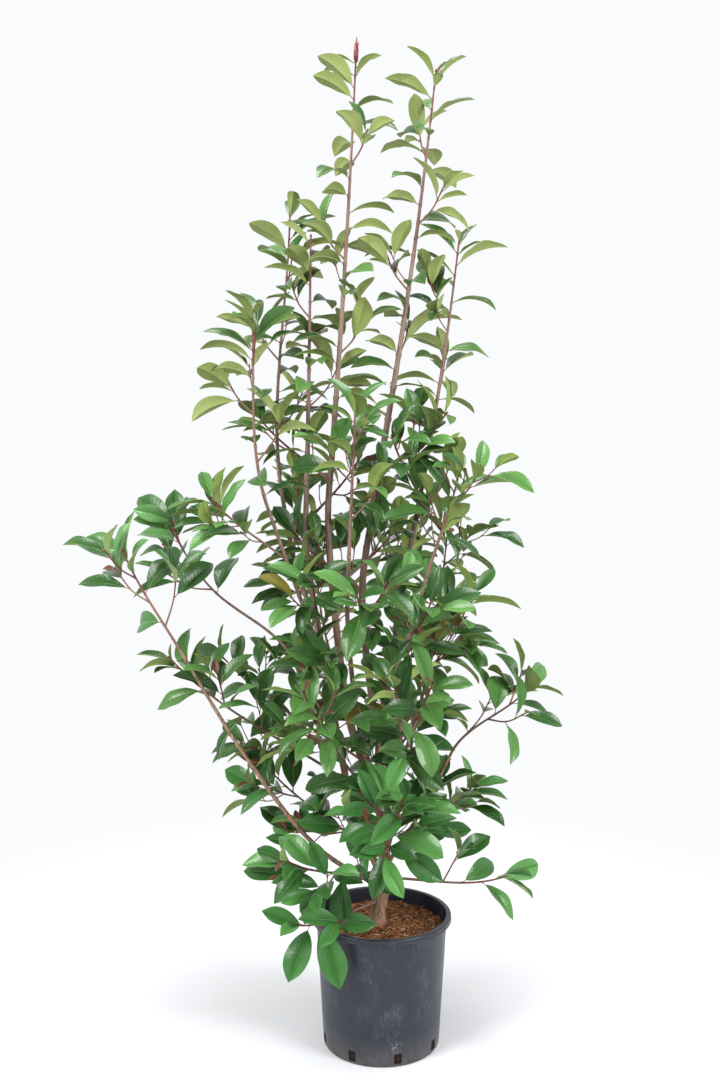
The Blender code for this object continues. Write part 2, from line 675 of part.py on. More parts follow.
def grow_spray(spray, leader, grown, space, place_in_space, surface):
    """One spray: a leading twig, side twigs by a seeded rule, and leaves whose roots are sunk in them."""
    rng = random.Random(spray.name)
    route, leader_tube = leader
    pieces = [leader_tube]
    own = Space()
    own.add(*leader_tube)
    twigs = [(route, spray.bare)]

    for i in range(spray.twigs):
        share = blend(*TWIG_PLACES, (i + 0.5) / spray.twigs)
        place, direction = along_route(route, share)
        for twig, length in twig_tries(spray, i, share, place, direction, rng):
            widths = tapered(twig, TWIG_FOOT_WIDTH, TWIG_TIP_WIDTH)
            solid = tube(twig, widths, TWIG_SIDES, BUD_LENGTH)
            guard = tube(twig, [w + 2.0 * LEAF_GUARD for w in widths], TWIG_SIDES, BUD_LENGTH)
            inside = distance_to_route(twig[-1], route) < TWIG_REACH * spray.reach
            if inside and space.free(*guard, skip=(place_in_space,)) and own.free(*guard, skip=(0,)):
                pieces.append(solid)
                own.add(*solid)
                twigs.append((twig, TWIG_BARE_SHARE * length))
                break

    for twig_index, (twig, bare) in enumerate(twigs):
        total = length_of(twig)
        turn = rng.uniform(0.0, 2.0 * math.pi)
        for k, back in enumerate(leaf_places(total, bare)):
            place, direction = along_route(twig, 1.0 - back / total)
            length = blend(YOUNG_LEAF_LENGTH, LEAF_LENGTH, back / GROWN_DISTANCE)
            length *= rng.uniform(*LEAF_LENGTH_SPREAD)
            width = LEAF_WIDTH * length
            for along, face, bend in leaf_tries(turn, k, back / OPEN_DISTANCE, direction, rng):
                solid = leaf_solid(place, along, face, length, width, bend)
                guard = leaf_solid(place, along, face, length, width, bend, LEAF_GUARD)
                far = max(distance_to_route(v, route) for v in solid[0])
                low = min(v.z for v in solid[0])
                if far > spray.reach or low < LOWEST_LEAF:
                    continue
                if space.free(*guard, skip=(place_in_space,)) and own.free(*guard, skip=(twig_index,)):
                    pieces.append(solid)
                    own.add(*solid)
                    break

    made = add_object(spray.name, *pieces[0], surface)
    if spray.place < 1.0:
        seat(made, leader_tube, grown)
    join_by_boolean(made, [add_object("piece", *piece) for piece in pieces[1:]], "UNION")
    for piece in pieces[1:]:
        space.add(*piece)


def side_sprays(grown):
    """Short sprays that stand out of the taller stems, each turned a golden angle from the last."""
    for row in SIDE_ROWS:
        for i in range(row.count):
            share = blend(row.first, row.last, i / max(1, row.count - 1))
            start = along_route(grown[row.stem].route, share)[0]
            turn = math.radians(row.turn) + GOLDEN_ANGLE * i
            outward = Vector((math.cos(turn), math.sin(turn), 0.0))
            aim = outward * math.cos(SIDE_SPRAY_RISE) + UP * math.sin(SIDE_SPRAY_RISE)
            tip = tuple(start + aim * SIDE_SPRAY_LENGTH)
            name = f"foliage_side_of_{row.stem}_{i + 1}"
            yield Spray(name, row.stem, share, tip, SIDE_SPRAY_TWIGS, SIDE_SPRAY_REACH, SIDE_SPRAY_BARE)


def main():
    for old in list(bpy.data.objects):
        bpy.data.objects.remove(old)
    make_pot(material(*PLASTIC))
    make_substrate(material(*PEAT))
    bark = material(*BARK)
    foliage = material(*LEAF)
    grown = {}
    for limb in LIMBS:
        make_limb(limb, grown, bark)
    space = Space()
    for limb in grown.values():
        space.add(*limb.shell(2.0 * GAP))
    space.add(*turned((
        (0.0, POT_ROOM_BOTTOM),
        (POT_ROOM_RADIUS, POT_ROOM_BOTTOM),
        (POT_ROOM_RADIUS, POT_ROOM_TOP),
        (0.0, POT_ROOM_TOP),
    ), POT_SIDES))
    sprays = [*SPRAYS, *side_sprays(grown)]
    leaders = [make_leader(spray, grown) for spray in sprays]
    first_leader = len(space.trees)
    for _, leader_tube in leaders:
        space.add(*leader_tube)
    for i, spray in enumerate(sprays):
        grow_spray(spray, leaders[i], grown, space, first_leader + i, foliage)


main()
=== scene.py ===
import json
import math
import random
from collections import namedtuple

import bmesh
import bpy
import numpy as np
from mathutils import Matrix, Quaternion, Vector, noise
from mathutils.bvhtree import BVHTree

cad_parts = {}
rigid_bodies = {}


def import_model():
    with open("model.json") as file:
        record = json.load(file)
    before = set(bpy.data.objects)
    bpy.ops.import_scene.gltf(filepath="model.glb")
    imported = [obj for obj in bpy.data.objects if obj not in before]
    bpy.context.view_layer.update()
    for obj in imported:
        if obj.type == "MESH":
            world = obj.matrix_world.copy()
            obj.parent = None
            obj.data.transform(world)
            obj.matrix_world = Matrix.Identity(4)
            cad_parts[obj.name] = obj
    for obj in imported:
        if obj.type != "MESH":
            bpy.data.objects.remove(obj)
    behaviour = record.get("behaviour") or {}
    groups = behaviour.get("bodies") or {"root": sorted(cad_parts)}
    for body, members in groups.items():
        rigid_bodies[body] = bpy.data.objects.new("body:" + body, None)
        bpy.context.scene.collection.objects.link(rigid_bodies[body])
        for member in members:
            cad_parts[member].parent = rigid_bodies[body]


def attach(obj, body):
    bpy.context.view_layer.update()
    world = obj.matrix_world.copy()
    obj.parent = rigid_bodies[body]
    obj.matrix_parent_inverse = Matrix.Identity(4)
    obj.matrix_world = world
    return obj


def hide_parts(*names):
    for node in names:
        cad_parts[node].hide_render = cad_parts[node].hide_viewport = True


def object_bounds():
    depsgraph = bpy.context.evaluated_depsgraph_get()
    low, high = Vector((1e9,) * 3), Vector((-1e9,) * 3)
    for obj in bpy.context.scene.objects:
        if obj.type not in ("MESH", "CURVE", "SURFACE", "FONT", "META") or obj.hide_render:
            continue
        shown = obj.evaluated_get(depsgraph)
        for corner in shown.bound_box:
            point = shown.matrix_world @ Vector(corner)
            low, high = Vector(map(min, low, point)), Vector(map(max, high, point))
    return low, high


# A photinia of several stems, about two metres tall with its nursery pot, as it stands for sale in early
# spring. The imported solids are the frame. All lengths are metres, in the same axes.
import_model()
cad_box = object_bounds()


# The pot
# A twelve litre nursery pot of recycled polypropylene, injection moulded in one shot. Its lip is folded over
# for stiffness and carries a bead at its lower edge, and eight drain slots go through the foot of the wall.
POT_HEIGHT = 0.274
POT_BASE_RADIUS = 0.1205
POT_TOP_RADIUS = 0.1363
POT_WALL = 0.002
POT_FLOOR = 0.0025
POT_FACETS = 160
FOOT_ROUND = 0.003
LIP_RADIUS = 0.1453
LIP_HEIGHT = 0.012
LIP_ROUND = 0.003
LIP_BEAD = 0.0006
BEAD_HEIGHT = 0.0028
BEAD_ROUND = 0.001
FOLD_FILLET = 0.0015
SKIRT_FILLET = 0.001
INNER_ROUND = 0.0015
SLOT_COUNT = 8
SLOT_WIDTH = 0.016
SLOT_BOTTOM = 0.006
SLOT_TOP = 0.028
SLOT_ROUND = 0.0018
FIRST_SLOT_ANGLE = math.radians(15.0 - 90.0)
POT_SHARP_ANGLE = math.radians(40.0)
UP = Vector((0.0, 0.0, 1.0))


def linear(srgb_hex, alpha=1.0):
    """An sRGB hex colour as the linear values that a shader takes."""
    parts = [int(srgb_hex[i:i + 2], 16) / 255.0 for i in (1, 3, 5)]
    return (*[c / 12.92 if c <= 0.04045 else ((c + 0.055) / 1.055) ** 2.4 for c in parts], alpha)


def per_mm(size):
    """The pattern scale that repeats about once in this many millimetres."""
    return 1000.0 / size


def feed(node, links):
    """Links what feeds a node's inputs. A node among them stands for its first output that is in use."""
    for key, source in links.items():
        if isinstance(source, bpy.types.Node):
            source = next(socket for socket in source.outputs if socket.enabled)
        node.id_data.links.new(source, node.inputs[key])


def add_node(tree, kind, settings=None, links=None):
    """Adds a node with its settings, which are its attributes or its inputs' values, and with its links."""
    added = tree.nodes.new("ShaderNode" + kind)
    for key, value in (settings or {}).items():
        if isinstance(key, str) and hasattr(added, key):
            setattr(added, key, value)
        else:
            added.inputs[key].default_value = value
    feed(added, links or {})
    return added


def finish_of(name, colour, roughness, ior=1.5, shine=0.5):
    """A new material with its colour, roughness, refraction and shine, and its node tree and shader."""
    made = bpy.data.materials.new(name)
    made.use_nodes = True
    made.diffuse_color = linear(colour)
    shader = made.node_tree.nodes["Principled BSDF"]
    skin = {"Base Color": linear(colour), "Roughness": roughness, "IOR": ior, "Specular IOR Level": shine}
    for key, value in skin.items():
        shader.inputs[key].default_value = value
    return made, made.node_tree, shader


def add_object(name, data):
    """A new object in the scene that carries a mesh, a light or a camera."""
    made = bpy.data.objects.new(name, data)
    bpy.context.scene.collection.objects.link(made)
    return made


def add_piece(name, vertices, faces, materials, indices=None, sharp=None):
    """A mesh piece from its corners and faces, shaded smooth up to a sharp angle where one is given."""
    mesh = bpy.data.meshes.new(name)
    mesh.from_pydata(vertices, [], faces)
    for made in materials:
        mesh.materials.append(made)
    if indices is not None:
        mesh.polygons.foreach_set("material_index", indices)
    mesh.shade_smooth()
    if sharp is not None:
        mesh.set_sharp_from_angle(angle=math.radians(sharp))
    mesh.update()
    return add_object(name, mesh)


def arc(centre, radius, start, end, steps):
    """Places along an arc in a profile, from one angle in degrees to another."""
    angles = [math.radians(start + (end - start) * i / steps) for i in range(steps + 1)]
    return [(centre[0] + radius * math.cos(a), centre[1] + radius * math.sin(a)) for a in angles]


def turned(profile, facets):
    """The corners and faces of a solid of revolution, from a profile that starts and ends on its axis."""
    vertices = [(0.0, 0.0, profile[0][1])]
    for radius, height in profile[1:-1]:
        for i in range(facets):
            angle = 2.0 * math.pi * i / facets
            vertices.append((radius * math.cos(angle), radius * math.sin(angle), height))
    last = len(vertices)
    vertices.append((0.0, 0.0, profile[-1][1]))
    faces = []
    for i in range(facets):
        j = (i + 1) % facets
        faces.append((0, 1 + j, 1 + i))
        for ring in range(len(profile) - 3):
            low = 1 + ring * facets
            faces.append((low + i, low + j, low + facets + j, low + facets + i))
        faces.append((last, last - facets + i, last - facets + j))
    return vertices, faces


def wall_radius(height):
    """The pot's outer radius at a height."""
    return POT_BASE_RADIUS + (POT_TOP_RADIUS - POT_BASE_RADIUS) * height / POT_HEIGHT


def even(low, high, count):
    """Evenly spaced values from one to another, both left out."""
    return [low + (high - low) * (i + 1) / (count + 1) for i in range(count)]


fold_height = POT_HEIGHT - LIP_ROUND - POT_WALL
skirt_foot = POT_HEIGHT - LIP_HEIGHT
skirt_inside = LIP_RADIUS - POT_WALL
skirt_face = LIP_RADIUS - LIP_BEAD
bead_top = skirt_foot + BEAD_HEIGHT
inner_edge = wall_radius(POT_HEIGHT) - POT_WALL

# The wall's section: up the outside, under the fold and down inside the skirt, round the bead, up the skirt,
# over the lip, and down the inside to the floor
pot_profile = [
    (0.0, 0.0),
    *arc((POT_BASE_RADIUS - FOOT_ROUND, FOOT_ROUND), FOOT_ROUND, -90.0, 0.0, 5),
    *[(wall_radius(z), z) for z in even(FOOT_ROUND, fold_height - FOLD_FILLET, 30)],
    (wall_radius(fold_height) + 0.0004, fold_height - 0.0005),
    (wall_radius(fold_height) + FOLD_FILLET, fold_height),
    (skirt_inside - SKIRT_FILLET, fold_height),
    (skirt_inside, fold_height - SKIRT_FILLET),
    (skirt_inside, skirt_foot + 0.0005),
    *arc((LIP_RADIUS - BEAD_ROUND, skirt_foot + BEAD_ROUND), BEAD_ROUND, -120.0, 0.0, 5),
    (LIP_RADIUS, bead_top - 0.0008),
    (skirt_face, bead_top),
    *[(skirt_face - 0.0001, z) for z in even(bead_top, POT_HEIGHT - LIP_ROUND, 3)],
    *arc((skirt_face - LIP_ROUND, POT_HEIGHT - LIP_ROUND), LIP_ROUND, 0.0, 90.0, 7),
    (inner_edge + 0.0018, POT_HEIGHT),
    *arc((inner_edge + INNER_ROUND, POT_HEIGHT - INNER_ROUND), INNER_ROUND, 90.0, 180.0, 4),
    *[(wall_radius(z) - POT_WALL, z) for z in reversed(even(POT_FLOOR, POT_HEIGHT - 2.0 * INNER_ROUND, 24))],
    (wall_radius(POT_FLOOR) - POT_WALL, POT_FLOOR),
    (0.0, POT_FLOOR),
]
pot_vertices, pot_faces = turned(pot_profile, POT_FACETS)

# Moulded walls are never quite round: they wander by a quarter of a millimetre, and so do their reflections
WALL_WANDER = 0.00025
WAVES_AROUND = 22.0
WAVES_UP = 14.0
for i, (x, y, z) in enumerate(pot_vertices):
    if SLOT_TOP < z < skirt_foot - 0.004:
        wave = noise.noise(Vector((x * WAVES_AROUND, y * WAVES_AROUND, z * WAVES_UP)))
        swing = 1.0 + WALL_WANDER * wave / POT_BASE_RADIUS
        pot_vertices[i] = (x * swing, y * swing, z)
pot = add_piece("nursery_pot", pot_vertices, pot_faces, [])

# The drain slots are cut through wall and foot, with rounded corners
slots = bmesh.new()
for i in range(SLOT_COUNT):
    angle = FIRST_SLOT_ANGLE + 2.0 * math.pi * i / SLOT_COUNT
    outward = Vector((math.cos(angle), math.sin(angle), 0.0))
    sideways = Vector((-math.sin(angle), math.cos(angle), 0.0))
    block = bmesh.ops.create_cube(slots, size=1.0)["verts"]
    for corner in block:
        depth, side, height = corner.co
        corner.co = (outward * (POT_BASE_RADIUS + depth * 10.0 * POT_WALL) + sideways * (side * SLOT_WIDTH)
                     + UP * (0.5 * (SLOT_BOTTOM + SLOT_TOP) + height * (SLOT_TOP - SLOT_BOTTOM)))
    through = [e for e in slots.edges if set(e.verts) <= set(block)
               and abs((e.verts[0].co - e.verts[1].co).normalized().dot(outward)) > 0.99]
    bmesh.ops.bevel(slots, geom=through, offset=SLOT_ROUND, segments=3, affect="EDGES")
bmesh.ops.recalc_face_normals(slots, faces=slots.faces)
slot_mesh = bpy.data.meshes.new("drain slots")
slots.to_mesh(slot_mesh)
slots.free()
slot_cutter = add_object("drain_slots", slot_mesh)
cut = pot.modifiers.new("drain slots", "BOOLEAN")
cut.operation = "DIFFERENCE"
cut.object = slot_cutter
bpy.context.view_layer.update()
cut_mesh = bpy.data.meshes.new_from_object(pot.evaluated_get(bpy.context.evaluated_depsgraph_get()))
pot.modifiers.clear()
pot.data = cut_mesh
bpy.data.objects.remove(slot_cutter)
pot.data.shade_smooth()
pot.data.set_sharp_from_angle(angle=POT_SHARP_ANGLE)

# Recycled polypropylene straight from a satin mould: slate blue grey, softly glossy, with faint flow marks,
# scuffs that run up the wall, a bloom of dust low down, and a patch of fine white scratches at the front
plastic, tree, shader = finish_of("satin recycled polypropylene", "#252932", 0.34, 1.49, 0.34)
ALONG_UPRIGHT = (1.0, 1.0, 0.14)
place = add_node(tree, "TexCoord").outputs["Object"]
flow = add_node(tree, "TexNoise", {"Scale": per_mm(70.0), "Detail": 3.0}, {"Vector": place})
flow_tone = add_node(tree, "Mix", {"data_type": "RGBA", "A": linear("#191c24"), "B": linear("#272b35")},
                     {"Factor": flow})
stretched = add_node(tree, "Mapping", {"Scale": ALONG_UPRIGHT}, {"Vector": place})
drags = add_node(tree, "TexNoise", {"Scale": per_mm(3.5), "Detail": 5.0, "Roughness": 0.7},
                 {"Vector": stretched})
clouds = add_node(tree, "TexNoise", {"Scale": per_mm(38.0), "Detail": 4.0, "Roughness": 0.6},
                  {"Vector": place})
cloud_share = add_node(tree, "MapRange", {"From Min": 0.50, "From Max": 0.66}, {"Value": clouds})
drag_share = add_node(tree, "MapRange", {"From Min": 0.42, "From Max": 0.74, "To Max": 0.34},
                      {"Value": drags})
scuff_share = add_node(tree, "Math", {"operation": "MULTIPLY"}, {0: cloud_share, 1: drag_share})
scuffed = add_node(tree, "Mix", {"data_type": "RGBA", "B": linear("#6a707c")},
                   {"Factor": scuff_share, "A": flow_tone})
height = add_node(tree, "SeparateXYZ", {}, {"Vector": place}).outputs["Z"]
low_down = add_node(tree, "MapRange", {"From Min": 0.06, "From Max": 0.0, "To Max": 0.20}, {"Value": height})
dust = add_node(tree, "TexNoise", {"Scale": per_mm(14.0), "Detail": 5.0}, {"Vector": place})
dusting = add_node(tree, "Math", {"operation": "MULTIPLY"}, {0: low_down, 1: dust})
dusted = add_node(tree, "Mix", {"data_type": "RGBA", "B": linear("#a59c8e")},
                  {"Factor": dusting, "A": scuffed})
PATCH_CENTRE = (0.028, -0.122, 0.043)
PATCH_RADIUS = 0.016
PATCH_CORE = 0.004
to_patch = add_node(tree, "VectorMath", {"operation": "DISTANCE", 1: PATCH_CENTRE}, {0: place})
near_patch = add_node(tree, "MapRange", {"From Min": PATCH_RADIUS, "From Max": PATCH_CORE},
                      {"Value": to_patch})
nicks = add_node(tree, "TexNoise", {"Scale": per_mm(4.0), "Detail": 6.0, "Roughness": 0.75},
                 {"Vector": place})
nick_share = add_node(tree, "MapRange", {"From Min": 0.54, "From Max": 0.62, "To Max": 0.9},
                      {"Value": nicks})
nicked = add_node(tree, "Math", {"operation": "MULTIPLY"}, {0: near_patch, 1: nick_share})
scratched = add_node(tree, "Mix", {"data_type": "RGBA", "B": linear("#c6ccd6")},
                     {"Factor": nicked, "A": dusted})
dullness = add_node(tree, "MapRange", {"To Min": 0.26, "To Max": 0.44}, {"Value": flow})
grain = add_node(tree, "TexNoise", {"Scale": per_mm(1.2), "Detail": 2.0}, {"Vector": place})
relief = add_node(tree, "Math", {"operation": "MULTIPLY_ADD", 1: 1.5}, {0: scuff_share, 2: grain})
bump = add_node(tree, "Bump", {"Strength": 0.12, "Distance": 0.0003}, {"Height": relief})
feed(shader, {"Base Color": scratched, "Roughness": dullness, "Normal": bump})
pot.data.materials.clear()
pot.data.materials.append(plastic)
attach(pot, "root")
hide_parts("pot")


# The substrate
# A bed of peat and coir that fills the pot to about an inch below the lip. It is loose: crumbs of peat,
# brown and straw coloured coir fibres and a few pale specks of grit lie over it, with a hollow at the stems.
SUBSTRATE_LEVEL = 0.249
SUBSTRATE_EDGE_DROP = 0.006
SUBSTRATE_FLAT_RADIUS = 0.05
BED_CLEARANCE = 0.0009
BED_SHOULDER = 0.012
BED_FACETS = 144
BED_RINGS = 54
BED_LUMPS = ((0.0030, 38.0), (0.0016, 120.0), (0.0008, 340.0))
TRUNK_FOOT = (-0.012, 0.0)
MOUND_HEIGHT = 0.0035
MOUND_RADIUS = 0.03
HOLLOW = (-0.062, -0.018)
HOLLOW_DEPTH = 0.011
HOLLOW_RADIUS = 0.034


def bed_height(x, y):
    """The height of the bed: level in the middle, lower at the wall, lumpy, and hollow left of the stems."""
    radius = math.hypot(x, y)
    reach = wall_radius(SUBSTRATE_LEVEL) - POT_WALL - SUBSTRATE_FLAT_RADIUS
    share = max(0.0, (radius - SUBSTRATE_FLAT_RADIUS) / reach)
    lumps = 0.0
    for layer, (size, scale) in enumerate(BED_LUMPS, 1):
        lumps += size * noise.noise(Vector((x * scale, y * scale, layer)))
    from_hollow = math.hypot(x - HOLLOW[0], y - HOLLOW[1]) / HOLLOW_RADIUS
    from_trunk = math.hypot(x - TRUNK_FOOT[0], y - TRUNK_FOOT[1]) / MOUND_RADIUS
    return (SUBSTRATE_LEVEL - SUBSTRATE_EDGE_DROP * share + lumps
            - HOLLOW_DEPTH * math.exp(-from_hollow ** 2) + MOUND_HEIGHT * math.exp(-from_trunk ** 2))


def bed_radius(height):
    """How far the bed reaches at a height, a little clear of the wall."""
    return wall_radius(height) - POT_WALL - BED_CLEARANCE


bed_edge = bed_radius(SUBSTRATE_LEVEL)
bed_profile = [
    (0.0, SUBSTRATE_LEVEL),
    *[(bed_edge * (i + 1) / BED_RINGS, SUBSTRATE_LEVEL) for i in range(BED_RINGS)],
    *[(bed_radius(z), z) for z in reversed(even(POT_FLOOR, SUBSTRATE_LEVEL - BED_SHOULDER, 22))],
    (bed_radius(POT_FLOOR), POT_FLOOR + BED_CLEARANCE),
    (0.0, POT_FLOOR + BED_CLEARANCE),
]
bed_vertices, bed_faces = turned(bed_profile, BED_FACETS)
for i, (x, y, z) in enumerate(bed_vertices):
    if z == SUBSTRATE_LEVEL:
        bed_vertices[i] = (x, y, bed_height(x, y))
bed = add_piece("substrate_bed", bed_vertices, [tuple(reversed(face)) for face in bed_faces], [])

# Moist peat is a matt dark red brown. Its crumbs are about three millimetres, and paler where they are dry
peat, tree, shader = finish_of("moist peat", "#4a2c20", 0.95, 1.35)
place = add_node(tree, "TexCoord").outputs["Object"]
crumbs = add_node(tree, "TexVoronoi", {"Scale": per_mm(3.2), "Randomness": 1.0}, {"Vector": place})
dried = add_node(tree, "TexNoise", {"Scale": per_mm(9.0), "Detail": 6.0, "Roughness": 0.7},
                 {"Vector": place})
dry_share = add_node(tree, "MapRange", {"From Min": 0.40, "From Max": 0.68}, {"Value": dried})
tones = add_node(tree, "Mix", {"data_type": "RGBA", "A": linear("#452518"), "B": linear("#94593a")},
                 {"Factor": dry_share})
# Painted shade: the gaps between the crumbs are darkened towards near black #20120c, where shade falls
# between them. The same rise, high on each crumb, drives the bump
crumb_rise_and_gap_shade = add_node(tree, "MapRange", {"From Max": 0.6, "To Min": 1.0, "To Max": 0.35}, {"Value": crumbs})
crumbs_and_painted_gap_shade = add_node(tree, "Mix", {"data_type": "RGBA", "A": linear("#20120c")}, {"Factor": crumb_rise_and_gap_shade, "B": tones})
height = add_node(tree, "SeparateXYZ", {}, {"Vector": place}).outputs["Z"]
# Darker towards the bottom of the bed: below 0.22 m it turns towards near black #130a07, most of the way
# below 0.15 m
darker_low_down_share = add_node(tree, "MapRange", {"From Min": 0.15, "From Max": 0.22, "To Min": 0.85, "To Max": 0.0},
                  {"Value": height})
moist = add_node(tree, "Mix", {"data_type": "RGBA", "B": linear("#130a07")},
                 {"Factor": darker_low_down_share, "A": crumbs_and_painted_gap_shade})
bump = add_node(tree, "Bump", {"Strength": 0.9, "Distance": 0.0015}, {"Height": crumb_rise_and_gap_shade})
feed(shader, {"Base Color": moist, "Normal": bump})
bed.data.materials.append(peat)
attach(bed, "root")
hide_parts("substrate")

# Coir: split coconut husk fibre, dry, springy and dull, in browns and straw. Crumbs of husk lie among it
COIR_TONES = ("#9a5a36", "#743a22", "#b98350", "#7d6a38", "#3e2216", "#d2b48c")
FIBRE_COUNT = 3200
FIBRE_WEIGHTS = (6, 6, 4, 3, 4, 1)
FIBRE_LENGTHS = (0.006, 0.024)
FIBRE_CURLS = (-2.2, 2.2)
FIBRE_LIFTS = (0.0002, 0.0022)
FIBRE_ARCHES = (0.0, 0.0035)
FIBRE_RADII = (0.00028, 0.00075)
FIBRE_STEPS = 4
FIBRE_ANGLES = (0.0, 2.1, 4.2)
FIBRE_END = 0.45
CRUMB_COUNT = 3000
CRUMB_WEIGHTS = (4, 6, 2, 3, 8, 1)
CRUMB_SIZES = (0.0006, 0.0023)
CRUMB_CORNERS = ((1, 0, 0), (0, 1, 0), (-1, 0, 0), (0, -1, 0), (0, 0, 0.7), (0, 0, -0.7))
CRUMB_JITTER = 0.35
SPOT_MARGIN = 0.002
END_MARGIN = 0.001
coir = [finish_of(f"dry coir fibre {i + 1}", tone, 0.75, 1.45)[0] for i, tone in enumerate(COIR_TONES)]
rng = random.Random("coir")


def spot_on_bed():
    """A random place on the bed, kept off the wall."""
    while True:
        x = rng.uniform(-bed_edge, bed_edge)
        y = rng.uniform(-bed_edge, bed_edge)
        if math.hypot(x, y) < bed_edge - SPOT_MARGIN:
            return x, y


def headings(route):
    """The direction of a route at each of its points."""
    found = []
    for i in range(len(route)):
        ahead = route[min(i + 1, len(route) - 1)]
        behind = route[max(i - 1, 0)]
        found.append((ahead - behind).normalized())
    return found


def fibre_spine(x, y):
    """A random fibre's middle line over the bed, or nothing where it would reach into the wall."""
    turn = rng.uniform(0.0, 2.0 * math.pi)
    length = rng.uniform(*FIBRE_LENGTHS)
    curl = rng.uniform(*FIBRE_CURLS)
    lift = rng.uniform(*FIBRE_LIFTS)
    arch = rng.uniform(*FIBRE_ARCHES)
    spine = []
    for k in range(FIBRE_STEPS + 1):
        share = k / FIBRE_STEPS
        px = x + length * (share - 0.5) * math.cos(turn + curl * (share - 0.5))
        py = y + length * (share - 0.5) * math.sin(turn + curl * (share - 0.5))
        if math.hypot(px, py) > bed_edge - END_MARGIN:
            return []
        spine.append(Vector((px, py, bed_height(px, py) + lift + arch * math.sin(math.pi * share))))
    return spine


fibre_vertices, fibre_faces, fibre_tones = [], [], []
for _ in range(FIBRE_COUNT):
    spine = fibre_spine(*spot_on_bed())
    half = rng.uniform(*FIBRE_RADII)
    if not spine:
        continue
    first = len(fibre_vertices)
    end = first + 3 * FIBRE_STEPS
    for k, (point, heading) in enumerate(zip(spine, headings(spine))):
        across = heading.cross(UP).normalized()
        other = across.cross(heading)
        width = half * (FIBRE_END if k in (0, FIBRE_STEPS) else 1.0)
        for angle in FIBRE_ANGLES:
            beside = point + across * (width * math.cos(angle))
            fibre_vertices.append(beside + other * (width * math.sin(angle)))
    rows = [(first + 2, first + 1, first), (end, end + 1, end + 2)]
    for low in range(first, end, 3):
        for a, b in ((0, 1), (1, 2), (2, 0)):
            rows.append((low + a, low + b, low + 3 + b, low + 3 + a))
    fibre_faces += rows
    fibre_tones += rng.choices(range(len(COIR_TONES)), FIBRE_WEIGHTS) * len(rows)
for _ in range(CRUMB_COUNT):
    x, y = spot_on_bed()
    size = rng.uniform(*CRUMB_SIZES)
    centre = Vector((x, y, bed_height(x, y) + 0.4 * size))
    first = len(fibre_vertices)
    for corner in CRUMB_CORNERS:
        jitter = Vector([rng.uniform(-CRUMB_JITTER, CRUMB_JITTER) for _ in range(3)])
        fibre_vertices.append(centre + (Vector(corner) + jitter) * size)
    for a, b in ((0, 1), (1, 2), (2, 3), (3, 0)):
        fibre_faces += [(first + a, first + b, first + 4), (first + b, first + a, first + 5)]
    fibre_tones += rng.choices(range(len(COIR_TONES)), CRUMB_WEIGHTS) * 8
fibres = add_piece("coir_fibres", fibre_vertices, fibre_faces, coir, fibre_tones)
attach(fibres, "root")


# The trunk, stems and boughs
# One short trunk that forks low down into several straight stems and a few low boughs, all living wood. Each
# limb grew out of the one below it, so its foot runs on into that limb with a swollen collar.
GAP = 0.0003
RINGS_PER_SPAN = 2
FLARE_WIDTH = 1.75
FLARE_HEIGHT = 0.035
LIMB_SIDES = 6
TRUNK_SIDES = 10

# A limb: what it grows from, how far along that, the places it bends through to its tip, and its widths
Limb = namedtuple("Limb", "name parent place bends foot_width tip_width")
LIMBS = (
    Limb("trunk", None, 0.0, ((*TRUNK_FOOT, SUBSTRATE_LEVEL + GAP), (0.004, 0.003, 0.33),
                              (0.006, 0.002, 0.41)), 0.030, 0.025),
    Limb("stem_a", "trunk", 0.86, ((-0.010, -0.004, 0.52), (-0.070, 0.000, 0.70), (-0.108, 0.006, 1.05),
                                   (-0.100, 0.000, 1.24)), 0.0185, 0.0120),
    Limb("stem_b", "trunk", 0.80, ((0.000, 0.055, 0.56), (-0.040, 0.062, 0.90), (-0.018, 0.040, 1.11),
                                   (0.008, 0.032, 1.27)), 0.0170, 0.0130),
    Limb("stem_c", "trunk", 0.90, ((0.040, 0.030, 0.54), (0.030, 0.072, 0.86), (0.066, 0.066, 1.06),
                                   (0.091, 0.060, 1.20)), 0.0135, 0.0095),
    Limb("stem_e", "trunk", 0.55, ((-0.062, 0.022, 0.50), (-0.118, 0.020, 0.80), (-0.152, 0.002, 1.02),
                                   (-0.152, 0.000, 1.17)), 0.0155, 0.0110),
    Limb("stem_d", "stem_e", 0.62, ((-0.180, 0.062, 1.00), (-0.204, 0.055, 1.13)), 0.0105, 0.0085),
    Limb("stem_f", "stem_e", 0.55, ((-0.172, -0.042, 0.96), (-0.226, -0.052, 1.117)), 0.0090, 0.0070),
    Limb("stem_g", "stem_a", 0.22, ((-0.055, -0.070, 0.74), (-0.069, -0.100, 0.90), (-0.066, -0.100, 1.03)),
         0.0110, 0.0080),
    Limb("stem_h", "stem_a", 0.16, ((0.000, -0.050, 0.72), (0.050, -0.062, 0.86), (0.086, -0.062, 0.98)),
         0.0115, 0.0080),
    Limb("left_low_bough", "trunk", 0.45, ((-0.139, -0.070, 0.445), (-0.275, -0.082, 0.631),
                                           (-0.400, -0.080, 0.840)), 0.0105, 0.0062),
    Limb("left_upper_bough", "stem_e", 0.44, ((-0.209, 0.052, 0.831), (-0.314, 0.050, 0.912)),
         0.0068, 0.0052),
    Limb("right_low_bough", "trunk", 0.72, ((0.090, 0.006, 0.500), (0.142, 0.000, 0.609)), 0.0085, 0.0060),
    Limb("back_left_bough", "stem_b", 0.12, ((-0.050, 0.130, 0.640), (-0.100, 0.175, 0.760)),
         0.0085, 0.0060),
    Limb("back_right_bough", "stem_c", 0.22, ((0.085, 0.110, 0.690), (0.110, 0.165, 0.790)),
         0.0085, 0.0060),
)
BARK_STEP = 0.0045
BARK_SIDES = 24
BARK_SPAN_STEPS = 24
COLLAR_WIDTH = 1.35
